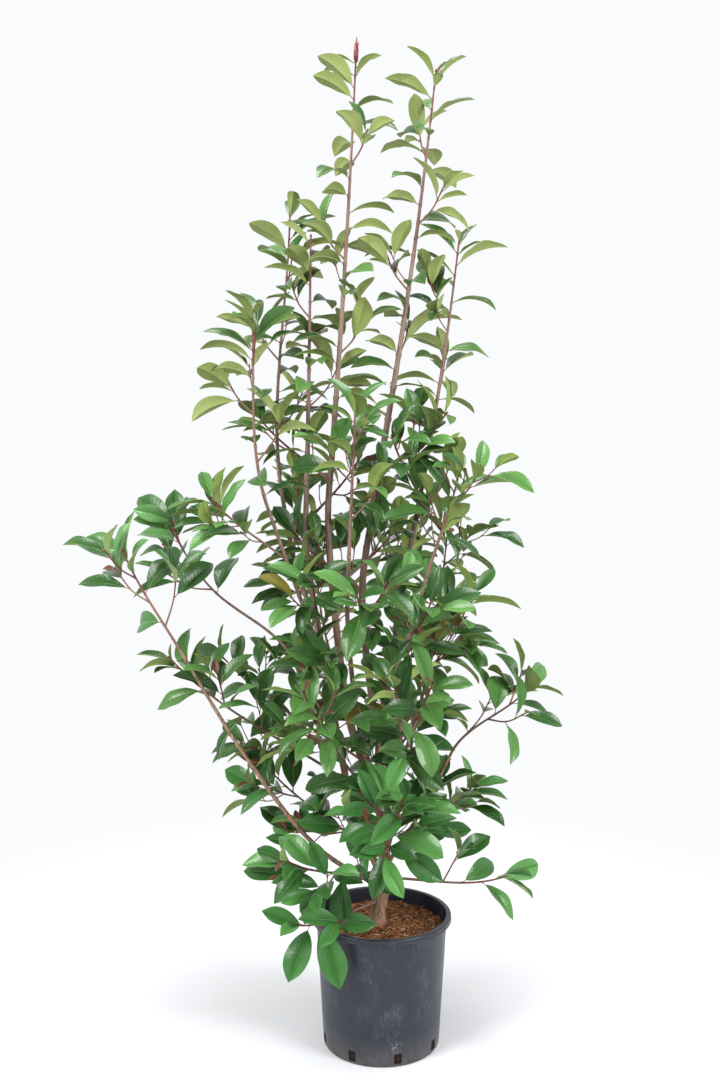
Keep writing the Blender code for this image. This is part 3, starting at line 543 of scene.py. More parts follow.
COLLAR_LENGTH = 0.016
OLD_BARK_TOP = 0.95
OLD_BARK_FOOT = 0.45
STRING_DEPTH = 0.0011
STRINGS_AROUND = 300.0
STRINGS_UP = 42.0
PLATE_HEIGHT = 0.0007
PLATES_AROUND = 120.0
PLATES_UP = 30.0
FULL_RELIEF_WIDTH = 0.012
NODE_SPACING = 0.038
NODE_TURN = 2.4
SCAR_HEIGHT = 0.0009
SCAR_LENGTH = 0.0022


def smooth_route(points, per_span):
    """A Catmull-Rom curve through the points, with the same number of steps in each span."""
    points = [Vector(p) for p in points]
    before = points[0] * 2.0 - points[1]
    after = points[-1] * 2.0 - points[-2]
    padded = [before, *points, after]
    route = [points[0]]
    for a, b, c, d in zip(padded, padded[1:], padded[2:], padded[3:]):
        for step in range(1, per_span + 1):
            t = step / per_span
            route.append(0.5 * (2.0 * b + (c - a) * t + (2.0 * a - 5.0 * b + 4.0 * c - d) * t * t
                                + (3.0 * b - a - 3.0 * c + d) * t * t * t))
    return route


def length_of(route):
    """A route's length."""
    return sum((b - a).length for a, b in zip(route, route[1:]))


def along_route(route, share):
    """The place and direction a share of the way along a route, by its length."""
    lengths = [(b - a).length for a, b in zip(route, route[1:])]
    left = share * sum(lengths)
    for a, b, length in zip(route, route[1:], lengths):
        if left <= length:
            return a.lerp(b, left / length), (b - a).normalized()
        left -= length
    return route[-1].copy(), (route[-1] - route[-2]).normalized()


def tapered(route, foot_width, tip_width):
    """Widths along a route that fall evenly with its length."""
    lengths = [0.0]
    for a, b in zip(route, route[1:]):
        lengths.append(lengths[-1] + (b - a).length)
    return [foot_width + (tip_width - foot_width) * s / lengths[-1] for s in lengths]


def flared(route, widths):
    """Widths that open out towards the trunk's foot."""
    opened = []
    for place, width in zip(route, widths):
        near = max(0.0, 1.0 - (place.z - route[0].z) / FLARE_HEIGHT)
        opened.append(width * (1.0 + (FLARE_WIDTH - 1.0) * near * near))
    return opened


def evened(route, step):
    """The same route with its points an even step apart."""
    count = max(2, round(length_of(route) / step))
    return [along_route(route, i / count)[0] for i in range(count + 1)]


def smooth_step(low, high, value):
    """0 below one value, 1 above another and an even ease between them."""
    share = min(1.0, max(0.0, (value - low) / (high - low)))
    return share * share * (3.0 - 2.0 * share)


def tube_wall(route, widths, sides, relief=None, first=None):
    """The corners and faces of a tube's wall, and its last heading. Its first heading may be given, and a
    relief: how far its skin stands out at a place, by where that faces, how far along and how wide it is."""
    directions = headings(route)
    if first is not None:
        directions[0] = first
    across = directions[0].orthogonal().normalized()
    vertices = []
    run = 0.0
    for i, (centre, direction, width) in enumerate(zip(route, directions, widths)):
        if i:
            across = directions[i - 1].rotation_difference(direction) @ across
            run += (centre - route[i - 1]).length
        other = direction.cross(across).normalized()
        for k in range(sides):
            angle = 2.0 * math.pi * k / sides
            outward = across * math.cos(angle) + other * math.sin(angle)
            radius = 0.5 * width
            if relief:
                radius += relief(centre + outward * radius, outward, run, width)
            vertices.append(centre + outward * radius)
    faces = []
    for i in range(len(route) - 1):
        for k in range(sides):
            m = (k + 1) % sides
            faces.append((i * sides + k, i * sides + m, (i + 1) * sides + m, (i + 1) * sides + k))
    return vertices, faces, directions[-1]


def skinned(route, widths, sides, relief=None, point=0.0):
    """A closed tube along a route, whose ends run together at their middle or are drawn out to a point."""
    vertices, faces, ahead = tube_wall(route, widths, sides, relief)
    end = (len(route) - 1) * sides
    vertices += [route[0], route[-1] + ahead * point]
    for k in range(sides):
        m = (k + 1) % sides
        faces += [(m, k, len(vertices) - 2), (end + k, end + m, len(vertices) - 1)]
    return vertices, faces


def bark_relief(spot, outward, run, width):
    """How far the bark stands out: fissured and flaking low down, smooth with leaf scars further up."""
    old = 1.0 - smooth_step(OLD_BARK_FOOT, OLD_BARK_TOP, spot.z)
    strings = noise.noise(Vector((spot.x * STRINGS_AROUND, spot.y * STRINGS_AROUND, spot.z * STRINGS_UP)))
    plates = noise.noise(Vector((spot.x * PLATES_AROUND + 5.0, spot.y * PLATES_AROUND, spot.z * PLATES_UP)))
    fissures = -abs(strings) * STRING_DEPTH + abs(plates) * PLATE_HEIGHT
    to_node = (run / NODE_SPACING) % 1.0 - 0.5
    ring = math.exp(-(to_node * NODE_SPACING / SCAR_LENGTH) ** 2)
    turn = math.atan2(outward.y, outward.x) - NODE_TURN * math.floor(run / NODE_SPACING)
    facing = 0.5 + 0.5 * math.cos(turn)
    scar = ring * (0.2 + 0.8 * facing * facing) * SCAR_HEIGHT
    return (0.25 + 0.75 * old) * fissures * min(1.0, width / FULL_RELIEF_WIDTH) + (1.0 - 0.6 * old) * scar


# Bark: thin, grey brown and stringy on the trunk, where it peels in orange brown flakes. Up the stems it
# turns to a smooth pinkish brown skin with pale streaks, a little satin where it is youngest
bark, tree, shader = finish_of("photinia bark", "#7a6050", 0.7, 1.45)
place = add_node(tree, "TexCoord").outputs["Object"]
upright = add_node(tree, "Mapping", {"Scale": ALONG_UPRIGHT}, {"Vector": place})
strings = add_node(tree, "TexNoise", {"Scale": per_mm(3.4), "Detail": 6.0, "Roughness": 0.65},
                   {"Vector": upright})
old_tone = add_node(tree, "ValToRGB", {}, {"Fac": strings})
flakes = add_node(tree, "TexNoise", {"Scale": per_mm(16.0), "Detail": 5.0, "Roughness": 0.6},
                  {"Vector": upright})
flake_share = add_node(tree, "MapRange", {"From Min": 0.56, "From Max": 0.64}, {"Value": flakes})
flaked = add_node(tree, "Mix", {"data_type": "RGBA", "B": linear("#8f5f40")},
                  {"Factor": flake_share, "A": old_tone})
streaks = add_node(tree, "TexNoise", {"Scale": per_mm(5.0), "Detail": 4.0}, {"Vector": upright})
young_tone = add_node(tree, "ValToRGB", {}, {"Fac": streaks})
OLD_STOPS = ((0.34, "#3b2c22"), (0.66, "#94775f"))
YOUNG_STOPS = ((0.35, "#4a382d"), (0.68, "#7a6455"))
for ramp, stops in ((old_tone, OLD_STOPS), (young_tone, YOUNG_STOPS)):
    for element, (position, tone) in zip(ramp.color_ramp.elements, stops):
        element.position = position
        element.color = linear(tone)
height = add_node(tree, "SeparateXYZ", {}, {"Vector": place}).outputs["Z"]
wander = add_node(tree, "Math", {"operation": "MULTIPLY_ADD", 1: 0.3}, {0: flakes, 2: height})
age = add_node(tree, "MapRange", {"From Min": 0.75, "From Max": 1.25}, {"Value": wander})
aged = add_node(tree, "Mix", {"data_type": "RGBA"}, {"Factor": age, "A": flaked, "B": young_tone})
satin = add_node(tree, "MapRange", {"To Min": 0.82, "To Max": 0.5}, {"Value": age})
bump = add_node(tree, "Bump", {"Strength": 0.6, "Distance": 0.0008}, {"Height": strings})
feed(shader, {"Base Color": aged, "Roughness": satin, "Normal": bump})

# How each limb stands by the rule of the solids, and the finer bark that replaces it
Stand = namedtuple("Stand", "route widths sides fine")
stands = {}
for limb in LIMBS:
    host = stands.get(limb.parent)
    bends = (along_route(host.route, limb.place)[0], *limb.bends) if host else limb.bends
    coarse = smooth_route(bends, RINGS_PER_SPAN)
    coarse_widths = tapered(coarse, limb.foot_width, limb.tip_width)
    fine = evened(smooth_route(bends, BARK_SPAN_STEPS), BARK_STEP)
    widths = tapered(fine, limb.foot_width, limb.tip_width)
    if host:
        for i, width in enumerate(widths):
            past_host = max(0.0, i * BARK_STEP - 0.5 * host.widths[-1]) / COLLAR_LENGTH
            widths[i] = width * (1.0 + (COLLAR_WIDTH - 1.0) * math.exp(-past_host * past_host))
    else:
        coarse_widths = flared(coarse, coarse_widths)
        widths = flared(fine, widths)
    stands[limb.name] = Stand(coarse, coarse_widths, LIMB_SIDES if host else TRUNK_SIDES, fine)
    piece = add_piece(f"bark_of_{limb.name}", *skinned(fine, widths, BARK_SIDES, bark_relief), [bark])
    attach(piece, "root")
    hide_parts(limb.name)


# The shoots
# This and last year's growth: a leading twig grows on from a limb's tip or out of its side, carries a few
# side twigs, and bears leaves a golden angle apart, crowded at its tip. Finer twigs fill the places between.
Spray = namedtuple("Spray", "name limb place tip twigs reach bare")
SPRAYS = (
    Spray("foliage_tall_a", "stem_a", 1.0, (-0.053, 0.000, 1.988), 3, 0.150, 0.02),
    Spray("foliage_tall_b", "stem_b", 1.0, (0.105, 0.030, 1.975), 4, 0.150, 0.02),
    Spray("foliage_tall_c", "stem_c", 1.0, (0.156, 0.060, 1.655), 2, 0.150, 0.02),
    Spray("foliage_tall_d", "stem_d", 1.0, (-0.186, 0.050, 1.705), 3, 0.150, 0.02),
    Spray("foliage_tall_e", "stem_e", 1.0, (-0.142, 0.000, 1.650), 2, 0.150, 0.02),
    Spray("foliage_tall_f", "stem_f", 1.0, (-0.255, -0.050, 1.500), 3, 0.150, 0.02),
    Spray("foliage_tall_g", "stem_g", 1.0, (-0.054, -0.100, 1.315), 3, 0.150, 0.02),
    Spray("foliage_tall_h", "stem_h", 1.0, (0.148, -0.060, 1.180), 3, 0.160, 0.02),
    Spray("foliage_left_low", "left_low_bough", 1.0, (-0.508, -0.080, 1.035), 3, 0.175, 0.02),
    Spray("foliage_left_upper", "left_upper_bough", 1.0, (-0.432, 0.050, 1.065), 3, 0.160, 0.03),
    Spray("foliage_left_middle", "stem_e", 0.26, (-0.425, -0.040, 0.815), 2, 0.150, 0.14),
    Spray("foliage_left_back", "stem_b", 0.20, (-0.340, 0.120, 0.790), 2, 0.150, 0.12),
    Spray("foliage_left_foot", "trunk", 0.84, (-0.245, -0.020, 0.600), 2, 0.140, 0.08),
    Spray("foliage_left_hanging", "trunk", 0.62, (-0.190, -0.150, 0.440), 1, 0.140, 0.08),
    Spray("foliage_right_low", "right_low_bough", 1.0, (0.300, -0.020, 0.755), 3, 0.160, 0.03),
    Spray("foliage_right_middle", "stem_c", 0.34, (0.185, -0.010, 0.945), 2, 0.160, 0.08),
    Spray("foliage_right_foot", "trunk", 0.93, (0.190, 0.060, 0.520), 1, 0.140, 0.09),
    Spray("foliage_low_right", "trunk", 0.60, (0.245, -0.090, 0.384), 1, 0.130, 0.12),
    Spray("foliage_low_left", "trunk", 0.30, (-0.165, -0.130, 0.300), 1, 0.160, 0.09),
    Spray("foliage_back_left", "back_left_bough", 1.0, (-0.150, 0.260, 1.020), 3, 0.180, 0.02),
    Spray("foliage_back_right", "back_right_bough", 1.0, (0.150, 0.250, 1.040), 3, 0.180, 0.02),
    Spray("foliage_back_low", "trunk", 0.58, (0.050, 0.240, 0.640), 3, 0.170, 0.10),
    Spray("foliage_front_left", "stem_a", 0.12, (-0.150, -0.200, 0.780), 3, 0.160, 0.07),
    Spray("foliage_front_right", "stem_h", 0.05, (0.090, -0.210, 0.800), 2, 0.160, 0.05),
    Spray("foliage_front_low", "trunk", 0.96, (0.035, -0.190, 0.570), 2, 0.150, 0.06),
)
SideRow = namedtuple("SideRow", "stem first last count turn")
SIDE_ROWS = (
    SideRow("stem_a", 0.40, 0.92, 3, 250.0),
    SideRow("stem_b", 0.36, 0.90, 3, 60.0),
    SideRow("stem_c", 0.42, 0.92, 3, 330.0),
    SideRow("stem_e", 0.38, 0.90, 3, 130.0),
    SideRow("stem_g", 0.66, 0.66, 1, 300.0),
    SideRow("stem_h", 0.66, 0.66, 1, 290.0),
    SideRow("stem_d", 0.60, 0.60, 1, 90.0),
    SideRow("stem_f", 0.70, 0.70, 1, 190.0),
)
SIDE_SPRAY_LENGTH = 0.19
SIDE_SPRAY_RISE = math.radians(40.0)
SIDE_SPRAY_REACH = 0.13
SIDE_SPRAY_TWIGS = 1
SIDE_SPRAY_BARE = 0.04
GOLDEN_ANGLE = math.radians(137.5)
LEADER_SIDES = 4
LEADER_STEP = 0.11
LEADER_LIFT = 0.35
LEADER_FIT = 0.98
LEADER_FINE_STEPS = 40
SIDE_LEADER_WIDTH = 0.00648
SIDE_LEADER_SHARE = 0.7
TWIG_SIDES = 3
TWIG_TIP_WIDTH = 0.0044
TWIG_FOOT_WIDTH = 0.0054
BUD_LENGTH = 0.010
TWIG_TRIES = 5
TWIG_PLACES = (0.12, 0.86)
TWIG_LENGTHS = (0.85, 0.5)
TWIG_LENGTH_SPREAD = (0.8, 1.0)
TWIG_TURN_SPREAD = 0.4
TWIG_TRY_TURN = 0.37
TWIG_TURN_BY_PLACE = 2.0
TWIG_FORWARD = 0.75
TWIG_RISE = 0.25
TWIG_END_FORWARD = 0.2
TWIG_END_RISE = 0.45
TWIG_REACH = 0.8
TWIG_BARE_SHARE = 0.35
TWIG_SPAN_STEPS = 8
LEAF_GUARD = 0.0009
LEAF_TRIES = 4
LEAF_LENGTH = 0.108
YOUNG_LEAF_LENGTH = 0.074
LEAF_LENGTH_SPREAD = (0.86, 1.08)
LEAF_WIDTH = 0.44
LEAF_THICKNESS = 0.0013
STALK_WIDTH = 0.0016
WIDEST_SHARE = 0.54
LEAF_SPACING = 0.066
TIP_SPACING = 0.0085
SPACING_GROWTH = 1.7
GROWN_DISTANCE = 0.03
OPEN_DISTANCE = 0.12
LEAF_ANGLES = (30.0, 60.0)
LEAF_ANGLE_SPREAD = 8.0
LEAF_BENDS = (28.0, 58.0)
LEAF_BEND_SPREAD = (-8.0, 10.0)
LEAF_TURN_SPREAD = 0.3
LEAF_TRY_TURN = 0.5
LEAF_ROLL = 38.0
SKY_PULL = 0.8
STEEPEST_FACE = 0.2
LOWEST_LEAF = 0.03
POT_ROOM = ((0.0, -0.01), (0.1483, -0.01), (0.1483, 0.276), (0.0, 0.276))
POT_ROOM_SIDES = 32


def blend(low, high, share):
    """A value between two others."""
    return low + (high - low) * min(1.0, max(0.0, share))


def tube(route, widths, sides, point=0.0, first=None):
    """The corners and faces of a plain tube with flat ends, or one drawn out to a point."""
    vertices, faces, ahead = tube_wall(route, widths, sides, first=first)
    faces.append(tuple(reversed(range(sides))))
    end = (len(route) - 1) * sides
    if point:
        vertices.append(route[-1] + ahead * point)
        faces += [(end + k, end + (k + 1) % sides, len(vertices) - 1) for k in range(sides)]
    else:
        faces.append(tuple(range(end, end + sides)))
    return vertices, faces


def shell_of(stand, clearance):
    """A limb's plain tube grown by a clearance on every side."""
    widths = [w + 2.0 * clearance / math.cos(math.pi / stand.sides) for w in stand.widths]
    route = list(stand.route)
    directions = headings(route)
    route[0] = route[0] - directions[0] * clearance
    route[-1] = route[-1] + directions[-1] * clearance
    return tube(route, widths, stand.sides)


def arc_point(root, along, face, length, bend, share):
    """A place on a midrib that starts along one direction and bends away from the leaf's upper face."""
    turn = bend * share
    forward = math.sin(turn) / bend * length
    down = (1.0 - math.cos(turn)) / bend * length
    return root + along * forward - face * down


def leaf_kite(root, along, face, length, width, bend, extra=0.0):
    """The plain kite that holds a leaf's space."""
    side = along.cross(face).normalized()
    middle = arc_point(root, along, face, length, bend, WIDEST_SHARE)
    tip = arc_point(root, along, face, length + extra, bend, 1.0)
    half_stalk = 0.5 * STALK_WIDTH + extra
    half_width = 0.5 * width + extra
    vertices = [
        root + face * half_stalk,
        root - face * half_stalk,
        middle + side * half_width + face * extra,
        middle - side * half_width + face * extra,
        middle - face * (LEAF_THICKNESS + extra),
        tip,
    ]
    faces = [(0, 2, 3), (0, 1, 2), (1, 0, 3), (1, 4, 2), (1, 3, 4), (3, 2, 5), (4, 3, 5), (2, 4, 5)]
    return vertices, faces


def leaf_places(length, bare):
    """Distances back from a twig's tip: crowded leaves at the tip that open out to the full spacing."""
    back = 0.5 * TIP_SPACING
    step = TIP_SPACING
    while back < length - bare:
        yield back
        back += step
        step = min(step * SPACING_GROWTH, LEAF_SPACING)


def distance_to_route(spot, route):
    """How far a place lies from a route."""
    nearest = float("inf")
    for a, b in zip(route, route[1:]):
        span = b - a
        share = min(1.0, max(0.0, (spot - a).dot(span) / span.length_squared))
        nearest = min(nearest, (spot - a - span * share).length)
    return nearest


class Space:
    """What stands already. A new twig or leaf has to keep clear of all of it."""

    def __init__(self):
        self.trees = []

    def add(self, vertices, faces):
        """Adds a solid, and gives its number."""
        centre = sum((Vector(v) for v in vertices), Vector()) / len(vertices)
        radius = max((Vector(v) - centre).length for v in vertices)
        self.trees.append((BVHTree.FromPolygons([tuple(v) for v in vertices], faces), centre, radius))
        return len(self.trees) - 1

    def free(self, vertices, faces, skip=()):
        """Whether a solid touches nothing, apart from the numbers that are skipped."""
        centre = sum(vertices, Vector()) / len(vertices)
        radius = max((v - centre).length for v in vertices)
        tree = None
        for index, (other, other_centre, other_radius) in enumerate(self.trees):
            if index in skip or (other_centre - centre).length > radius + other_radius:
                continue
            if tree is None:
                tree = BVHTree.FromPolygons([tuple(v) for v in vertices], faces)
            if tree.overlap(other):
                return False
        return True


def leader_curve(spray, steps=None):
    """The leading twig's route, from its limb's tip or out of its side, turning to its own tip."""
    host = stands[spray.limb]
    start, heading = along_route(host.route, spray.place)
    tip = Vector(spray.tip)
    reach = (tip - start).length
    if spray.place == 1.0:
        start = start + heading * GAP
    else:
        heading = (tip - start).normalized()
    lift = ((tip - start).normalized() + UP * LEADER_LIFT).normalized()
    first = start + heading * (reach / 3.0)
    second = tip - lift * (reach / 3.0)
    steps = steps or max(3, round(reach / LEADER_STEP))
    route = []
    for i in range(steps + 1):
        t = i / steps
        route.append(start * (1 - t) ** 3 + first * (3 * t * (1 - t) ** 2)
                     + second * (3 * t * t * (1 - t)) + tip * t ** 3)
    return route


def leader_foot_width(spray):
    """How wide a leading twig is where it leaves its limb."""
    host = stands[spray.limb]
    if spray.place == 1.0:
        return LEADER_FIT * host.widths[-1]
    last = len(host.widths) - 1
    return min(SIDE_LEADER_WIDTH, SIDE_LEADER_SHARE * host.widths[min(last, round(spray.place * last))])


def twig_tries(spray, i, share, spot, direction, rng, size=1.0):
    """The routes that a side twig may take and their lengths, each a little further round than the last."""
    for attempt in range(TWIG_TRIES):
        around = GOLDEN_ANGLE * (i + TWIG_TRY_TURN * attempt) + TWIG_TURN_BY_PLACE * spray.tip[0]
        around += rng.uniform(-TWIG_TURN_SPREAD, TWIG_TURN_SPREAD)
        outward = Quaternion(direction, around) @ direction.orthogonal().normalized()
        length = spray.reach * blend(*TWIG_LENGTHS, share) * rng.uniform(*TWIG_LENGTH_SPREAD) * size
        aim = (direction * TWIG_FORWARD + outward + UP * TWIG_RISE).normalized()
        late_aim = (aim + UP * TWIG_END_RISE + direction * TWIG_END_FORWARD).normalized()
        bend_at = spot + aim * (0.5 * length)
        yield [spot, bend_at, bend_at + late_aim * (0.5 * length)], length


def leaf_tries(turn, k, openness, direction, rng):
    """How a leaf may stand: where its stalk heads, its upper face and its bend, each further round."""
    for attempt in range(LEAF_TRIES):
        around = turn + GOLDEN_ANGLE * k + rng.uniform(-LEAF_TURN_SPREAD, LEAF_TURN_SPREAD)
        around += LEAF_TRY_TURN * attempt
        outward = Quaternion(direction, around) @ direction.orthogonal().normalized()
        angle = blend(*LEAF_ANGLES, openness) + rng.uniform(-LEAF_ANGLE_SPREAD, LEAF_ANGLE_SPREAD)
        angle = math.radians(angle)
        along = (direction * math.cos(angle) + outward * math.sin(angle)).normalized()
        sky = direction + UP * SKY_PULL
        face = sky - along * sky.dot(along)
        if face.length < STEEPEST_FACE:
            face = outward - along * outward.dot(along)
        roll = math.radians(rng.uniform(-LEAF_ROLL, LEAF_ROLL))
        face = Quaternion(along, roll) @ face.normalized()
        bend = math.radians(blend(*LEAF_BENDS, openness) + rng.uniform(*LEAF_BEND_SPREAD))
        yield along, face, bend


# A twig: its spray, its fine route, its widths, its rank (0 leading, 1 side, 2 finer) and where its leaves
# stand. A leaf: its spray, how it stands, how far it is back from the tip, and its number
Twig = namedtuple("Twig", "spray route foot_width tip_width rank leaf_shares")
Leaf = namedtuple("Leaf", "spray root along face length bend back number")
twigs = []
leaves = []
space = Space()
for stand in stands.values():
    space.add(*shell_of(stand, 2.0 * GAP))
space.add(*turned(POT_ROOM, POT_ROOM_SIDES))

sprays = list(SPRAYS)
for row in SIDE_ROWS:
    for i in range(row.count):
        share = blend(row.first, row.last, i / max(1, row.count - 1))
        start = along_route(stands[row.stem].route, share)[0]
        turn = math.radians(row.turn) + GOLDEN_ANGLE * i
        flat = Vector((math.cos(turn), math.sin(turn), 0.0))
        tip = start + (flat * math.cos(SIDE_SPRAY_RISE) + UP * math.sin(SIDE_SPRAY_RISE)) * SIDE_SPRAY_LENGTH
        sprays.append(Spray(f"foliage_side_of_{row.stem}_{i + 1}", row.stem, share, tuple(tip),
                            SIDE_SPRAY_TWIGS, SIDE_SPRAY_REACH, SIDE_SPRAY_BARE))

leader_tubes = []
for spray in sprays:
    route = leader_curve(spray)
    facing = along_route(stands[spray.limb].route, 1.0)[1] if spray.place == 1.0 else None
    widths = tapered(route, leader_foot_width(spray), TWIG_TIP_WIDTH)
    leader_tubes.append((route, tube(route, widths, LEADER_SIDES, BUD_LENGTH, facing)))
first_leader = len(space.trees)
for route, solid in leader_tubes:
    space.add(*solid)

# The first pass repeats the rule of the solids, so each leaf stands where its solid does. What stands on a
# spray is kept for each twig: its plain route, how much of it is bare, its fine route and its leaves' places
Standing = namedtuple("Standing", "route bare fine number shares rank")
grown_sprays = []
for index, spray in enumerate(sprays):
    rng = random.Random(spray.name)
    leader, leader_solid = leader_tubes[index]
    leader_number = first_leader + index
    fine_leader = leader_curve(spray, LEADER_FINE_STEPS)
    own = Space()
    own.add(*leader_solid)
    standing = [Standing(leader, spray.bare, fine_leader, leader_number, [], 0)]
    pieces = []
    for i in range(spray.twigs):
        share = blend(*TWIG_PLACES, (i + 0.5) / spray.twigs)
        spot, direction = along_route(leader, share)
        for route, length in twig_tries(spray, i, share, spot, direction, rng):
            widths = tapered(route, TWIG_FOOT_WIDTH, TWIG_TIP_WIDTH)
            solid = tube(route, widths, TWIG_SIDES, BUD_LENGTH)
            guard = tube(route, [w + 2.0 * LEAF_GUARD for w in widths], TWIG_SIDES, BUD_LENGTH)
            inside = distance_to_route(route[-1], leader) < TWIG_REACH * spray.reach
            if inside and space.free(*guard, skip=(leader_number,)) and own.free(*guard, skip=(0,)):
                own.add(*solid)
                pieces.append(solid)
                fine = smooth_route((along_route(fine_leader, share)[0], *route[1:]), TWIG_SPAN_STEPS)
                number = len(space.trees) + len(pieces) - 1
                standing.append(Standing(route, TWIG_BARE_SHARE * length, fine, number, [], 1))
                break
    leaf_number = 0
    for twig_index, twig in enumerate(standing):
        total = length_of(twig.route)
        turn = rng.uniform(0.0, 2.0 * math.pi)
        for k, back in enumerate(leaf_places(total, twig.bare)):
            spot, direction = along_route(twig.route, 1.0 - back / total)
            length = blend(YOUNG_LEAF_LENGTH, LEAF_LENGTH, back / GROWN_DISTANCE)
            length *= rng.uniform(*LEAF_LENGTH_SPREAD)
            width = LEAF_WIDTH * length
            for along, face, bend in leaf_tries(turn, k, back / OPEN_DISTANCE, direction, rng):
                solid = leaf_kite(spot, along, face, length, width, bend)
                guard = leaf_kite(spot, along, face, length, width, bend, LEAF_GUARD)
                if max(distance_to_route(v, leader) for v in solid[0]) > spray.reach:
                    continue
                if min(v.z for v in solid[0]) < LOWEST_LEAF:
                    continue
                if space.free(*guard, skip=(leader_number,)) and own.free(*guard, skip=(twig_index,)):
                    own.add(*solid)
                    pieces.append(solid)
                    root = along_route(twig.fine, 1.0 - back / total)[0]
                    leaves.append(Leaf(index, root, along, face, length, bend, back, leaf_number))
                    twig.shares.append(1.0 - back / total)
                    leaf_number += 1
                    break
    for solid in pieces:
        space.add(*solid)
    grown_sprays.append(standing)

# Two leaves hang over the pot's lip and face forward, the way most leaves here have turned to the light. For
# each: its spray, its number, where its tip is, how far it bends and how broad it is for its length
HangingLeaf = namedtuple("HangingLeaf", "spray number tip bend width")
HANGING_LEAVES = (
    HangingLeaf("foliage_low_left", 2, (-0.184, -0.178, 0.206), 0.35, 0.55),
    HangingLeaf("foliage_low_left", 3, (-0.084, -0.151, 0.179), 0.30, 0.55),
)
HANGING_ROOM = 0.003
FORWARD = Vector((0.05, -0.91, 0.41))
broad = {}
for i, leaf in enumerate(leaves):
    for hanging in HANGING_LEAVES:
        if (sprays[leaf.spray].name, leaf.number) == (hanging.spray, hanging.number):
            chord = Vector(hanging.tip) - leaf.root
            half = 0.5 * hanging.bend
            ahead = chord.normalized()
            facing = (FORWARD - ahead * FORWARD.dot(ahead)).normalized()
            along = ahead * math.cos(half) + facing * math.sin(half)
            face = facing * math.cos(half) - ahead * math.sin(half)
            length = chord.length * half / math.sin(half)
            leaves[i] = leaf._replace(along=along, face=face, length=length, bend=hanging.bend)
            broad[i] = hanging.width
            width = hanging.width * length
            space.add(*leaf_kite(leaf.root, along, face, length, width, hanging.bend, HANGING_ROOM))

# The second pass carries the growth on within the same reach: finer twigs, small leaves that crowd the tips,
# and leaves midway between the others
LEADER_TIP = 0.0030
SIDE_TWIG_TIP = 0.0024
SIDE_TWIG_FOOT = 0.0040
FINE_TWIG_TIP = 0.0018
FINE_TWIG_FOOT = 0.0030
FINE_TWIG_SIZE = 0.78
FINE_TWIG_BARE = 0.35
FINE_TWIG_PLACES = (0.2, 0.9)
FINE_TWIG_SHIFT = 0.08
CROWDED_PLACES = (0.012, 0.030)
CROWDED_LENGTHS = (0.050, 0.070)
BETWEEN_LENGTHS = (0.088, 0.110)
WIDE_GAP = 0.028
LOWEST_FINE_LEAF = 0.28
OPEN_TOP = 1.30
TALLEST = 1.80
LOWEST_SHOOTS = 0.50
SPARSE = ("foliage_right_low", "foliage_low_right", "foliage_low_left")
DENSE_MIDDLE = 1.02
ARMS = ("foliage_left_low", "foliage_left_upper")


def finer_twigs_of(spray):
    """How many finer twigs a spray carries: none on arms and sparse sprays, few high up and low down."""
    if spray.name in SPARSE or spray.name in ARMS:
        return 0
    if spray.tip[2] > OPEN_TOP:
        return 2 if spray.tip[2] > TALLEST else 1
    if spray.tip[2] < LOWEST_SHOOTS:
        return 3
    if spray.name.startswith("foliage_front"):
        return 12
    middle = 0.5 * (stands[spray.limb].route[0].z + spray.tip[2])
    if spray.name.startswith("foliage_side") or middle > DENSE_MIDDLE:
        return 5
    return 9


def grow_between(index, twig, k, back, lengths, turn, rng):
    """One more leaf at a place on a twig, if there is room for it."""
    leader = grown_sprays[index][0].route
    total = length_of(twig.fine)
    spot, direction = along_route(twig.fine, 1.0 - back / total)
    length = rng.uniform(*lengths)
    for along, face, bend in leaf_tries(turn, k, back / OPEN_DISTANCE, direction, rng):
        solid = leaf_kite(spot, along, face, length, LEAF_WIDTH * length, bend)
        if max(distance_to_route(v, leader) for v in solid[0]) > sprays[index].reach:
            continue
        low = [min(v[axis] for v in solid[0]) for axis in range(3)]
        high = [max(v[axis] for v in solid[0]) for axis in range(3)]
        outside = any(low[a] < cad_box[0][a] or high[a] > cad_box[1][a] for a in range(3))
        if low[2] >= LOWEST_FINE_LEAF and not outside and space.free(*solid, skip=(twig.number,)):
            space.add(*solid)
            leaves.append(Leaf(index, spot, along, face, length, bend, back, k))
            twig.shares.append(1.0 - back / total)
            return


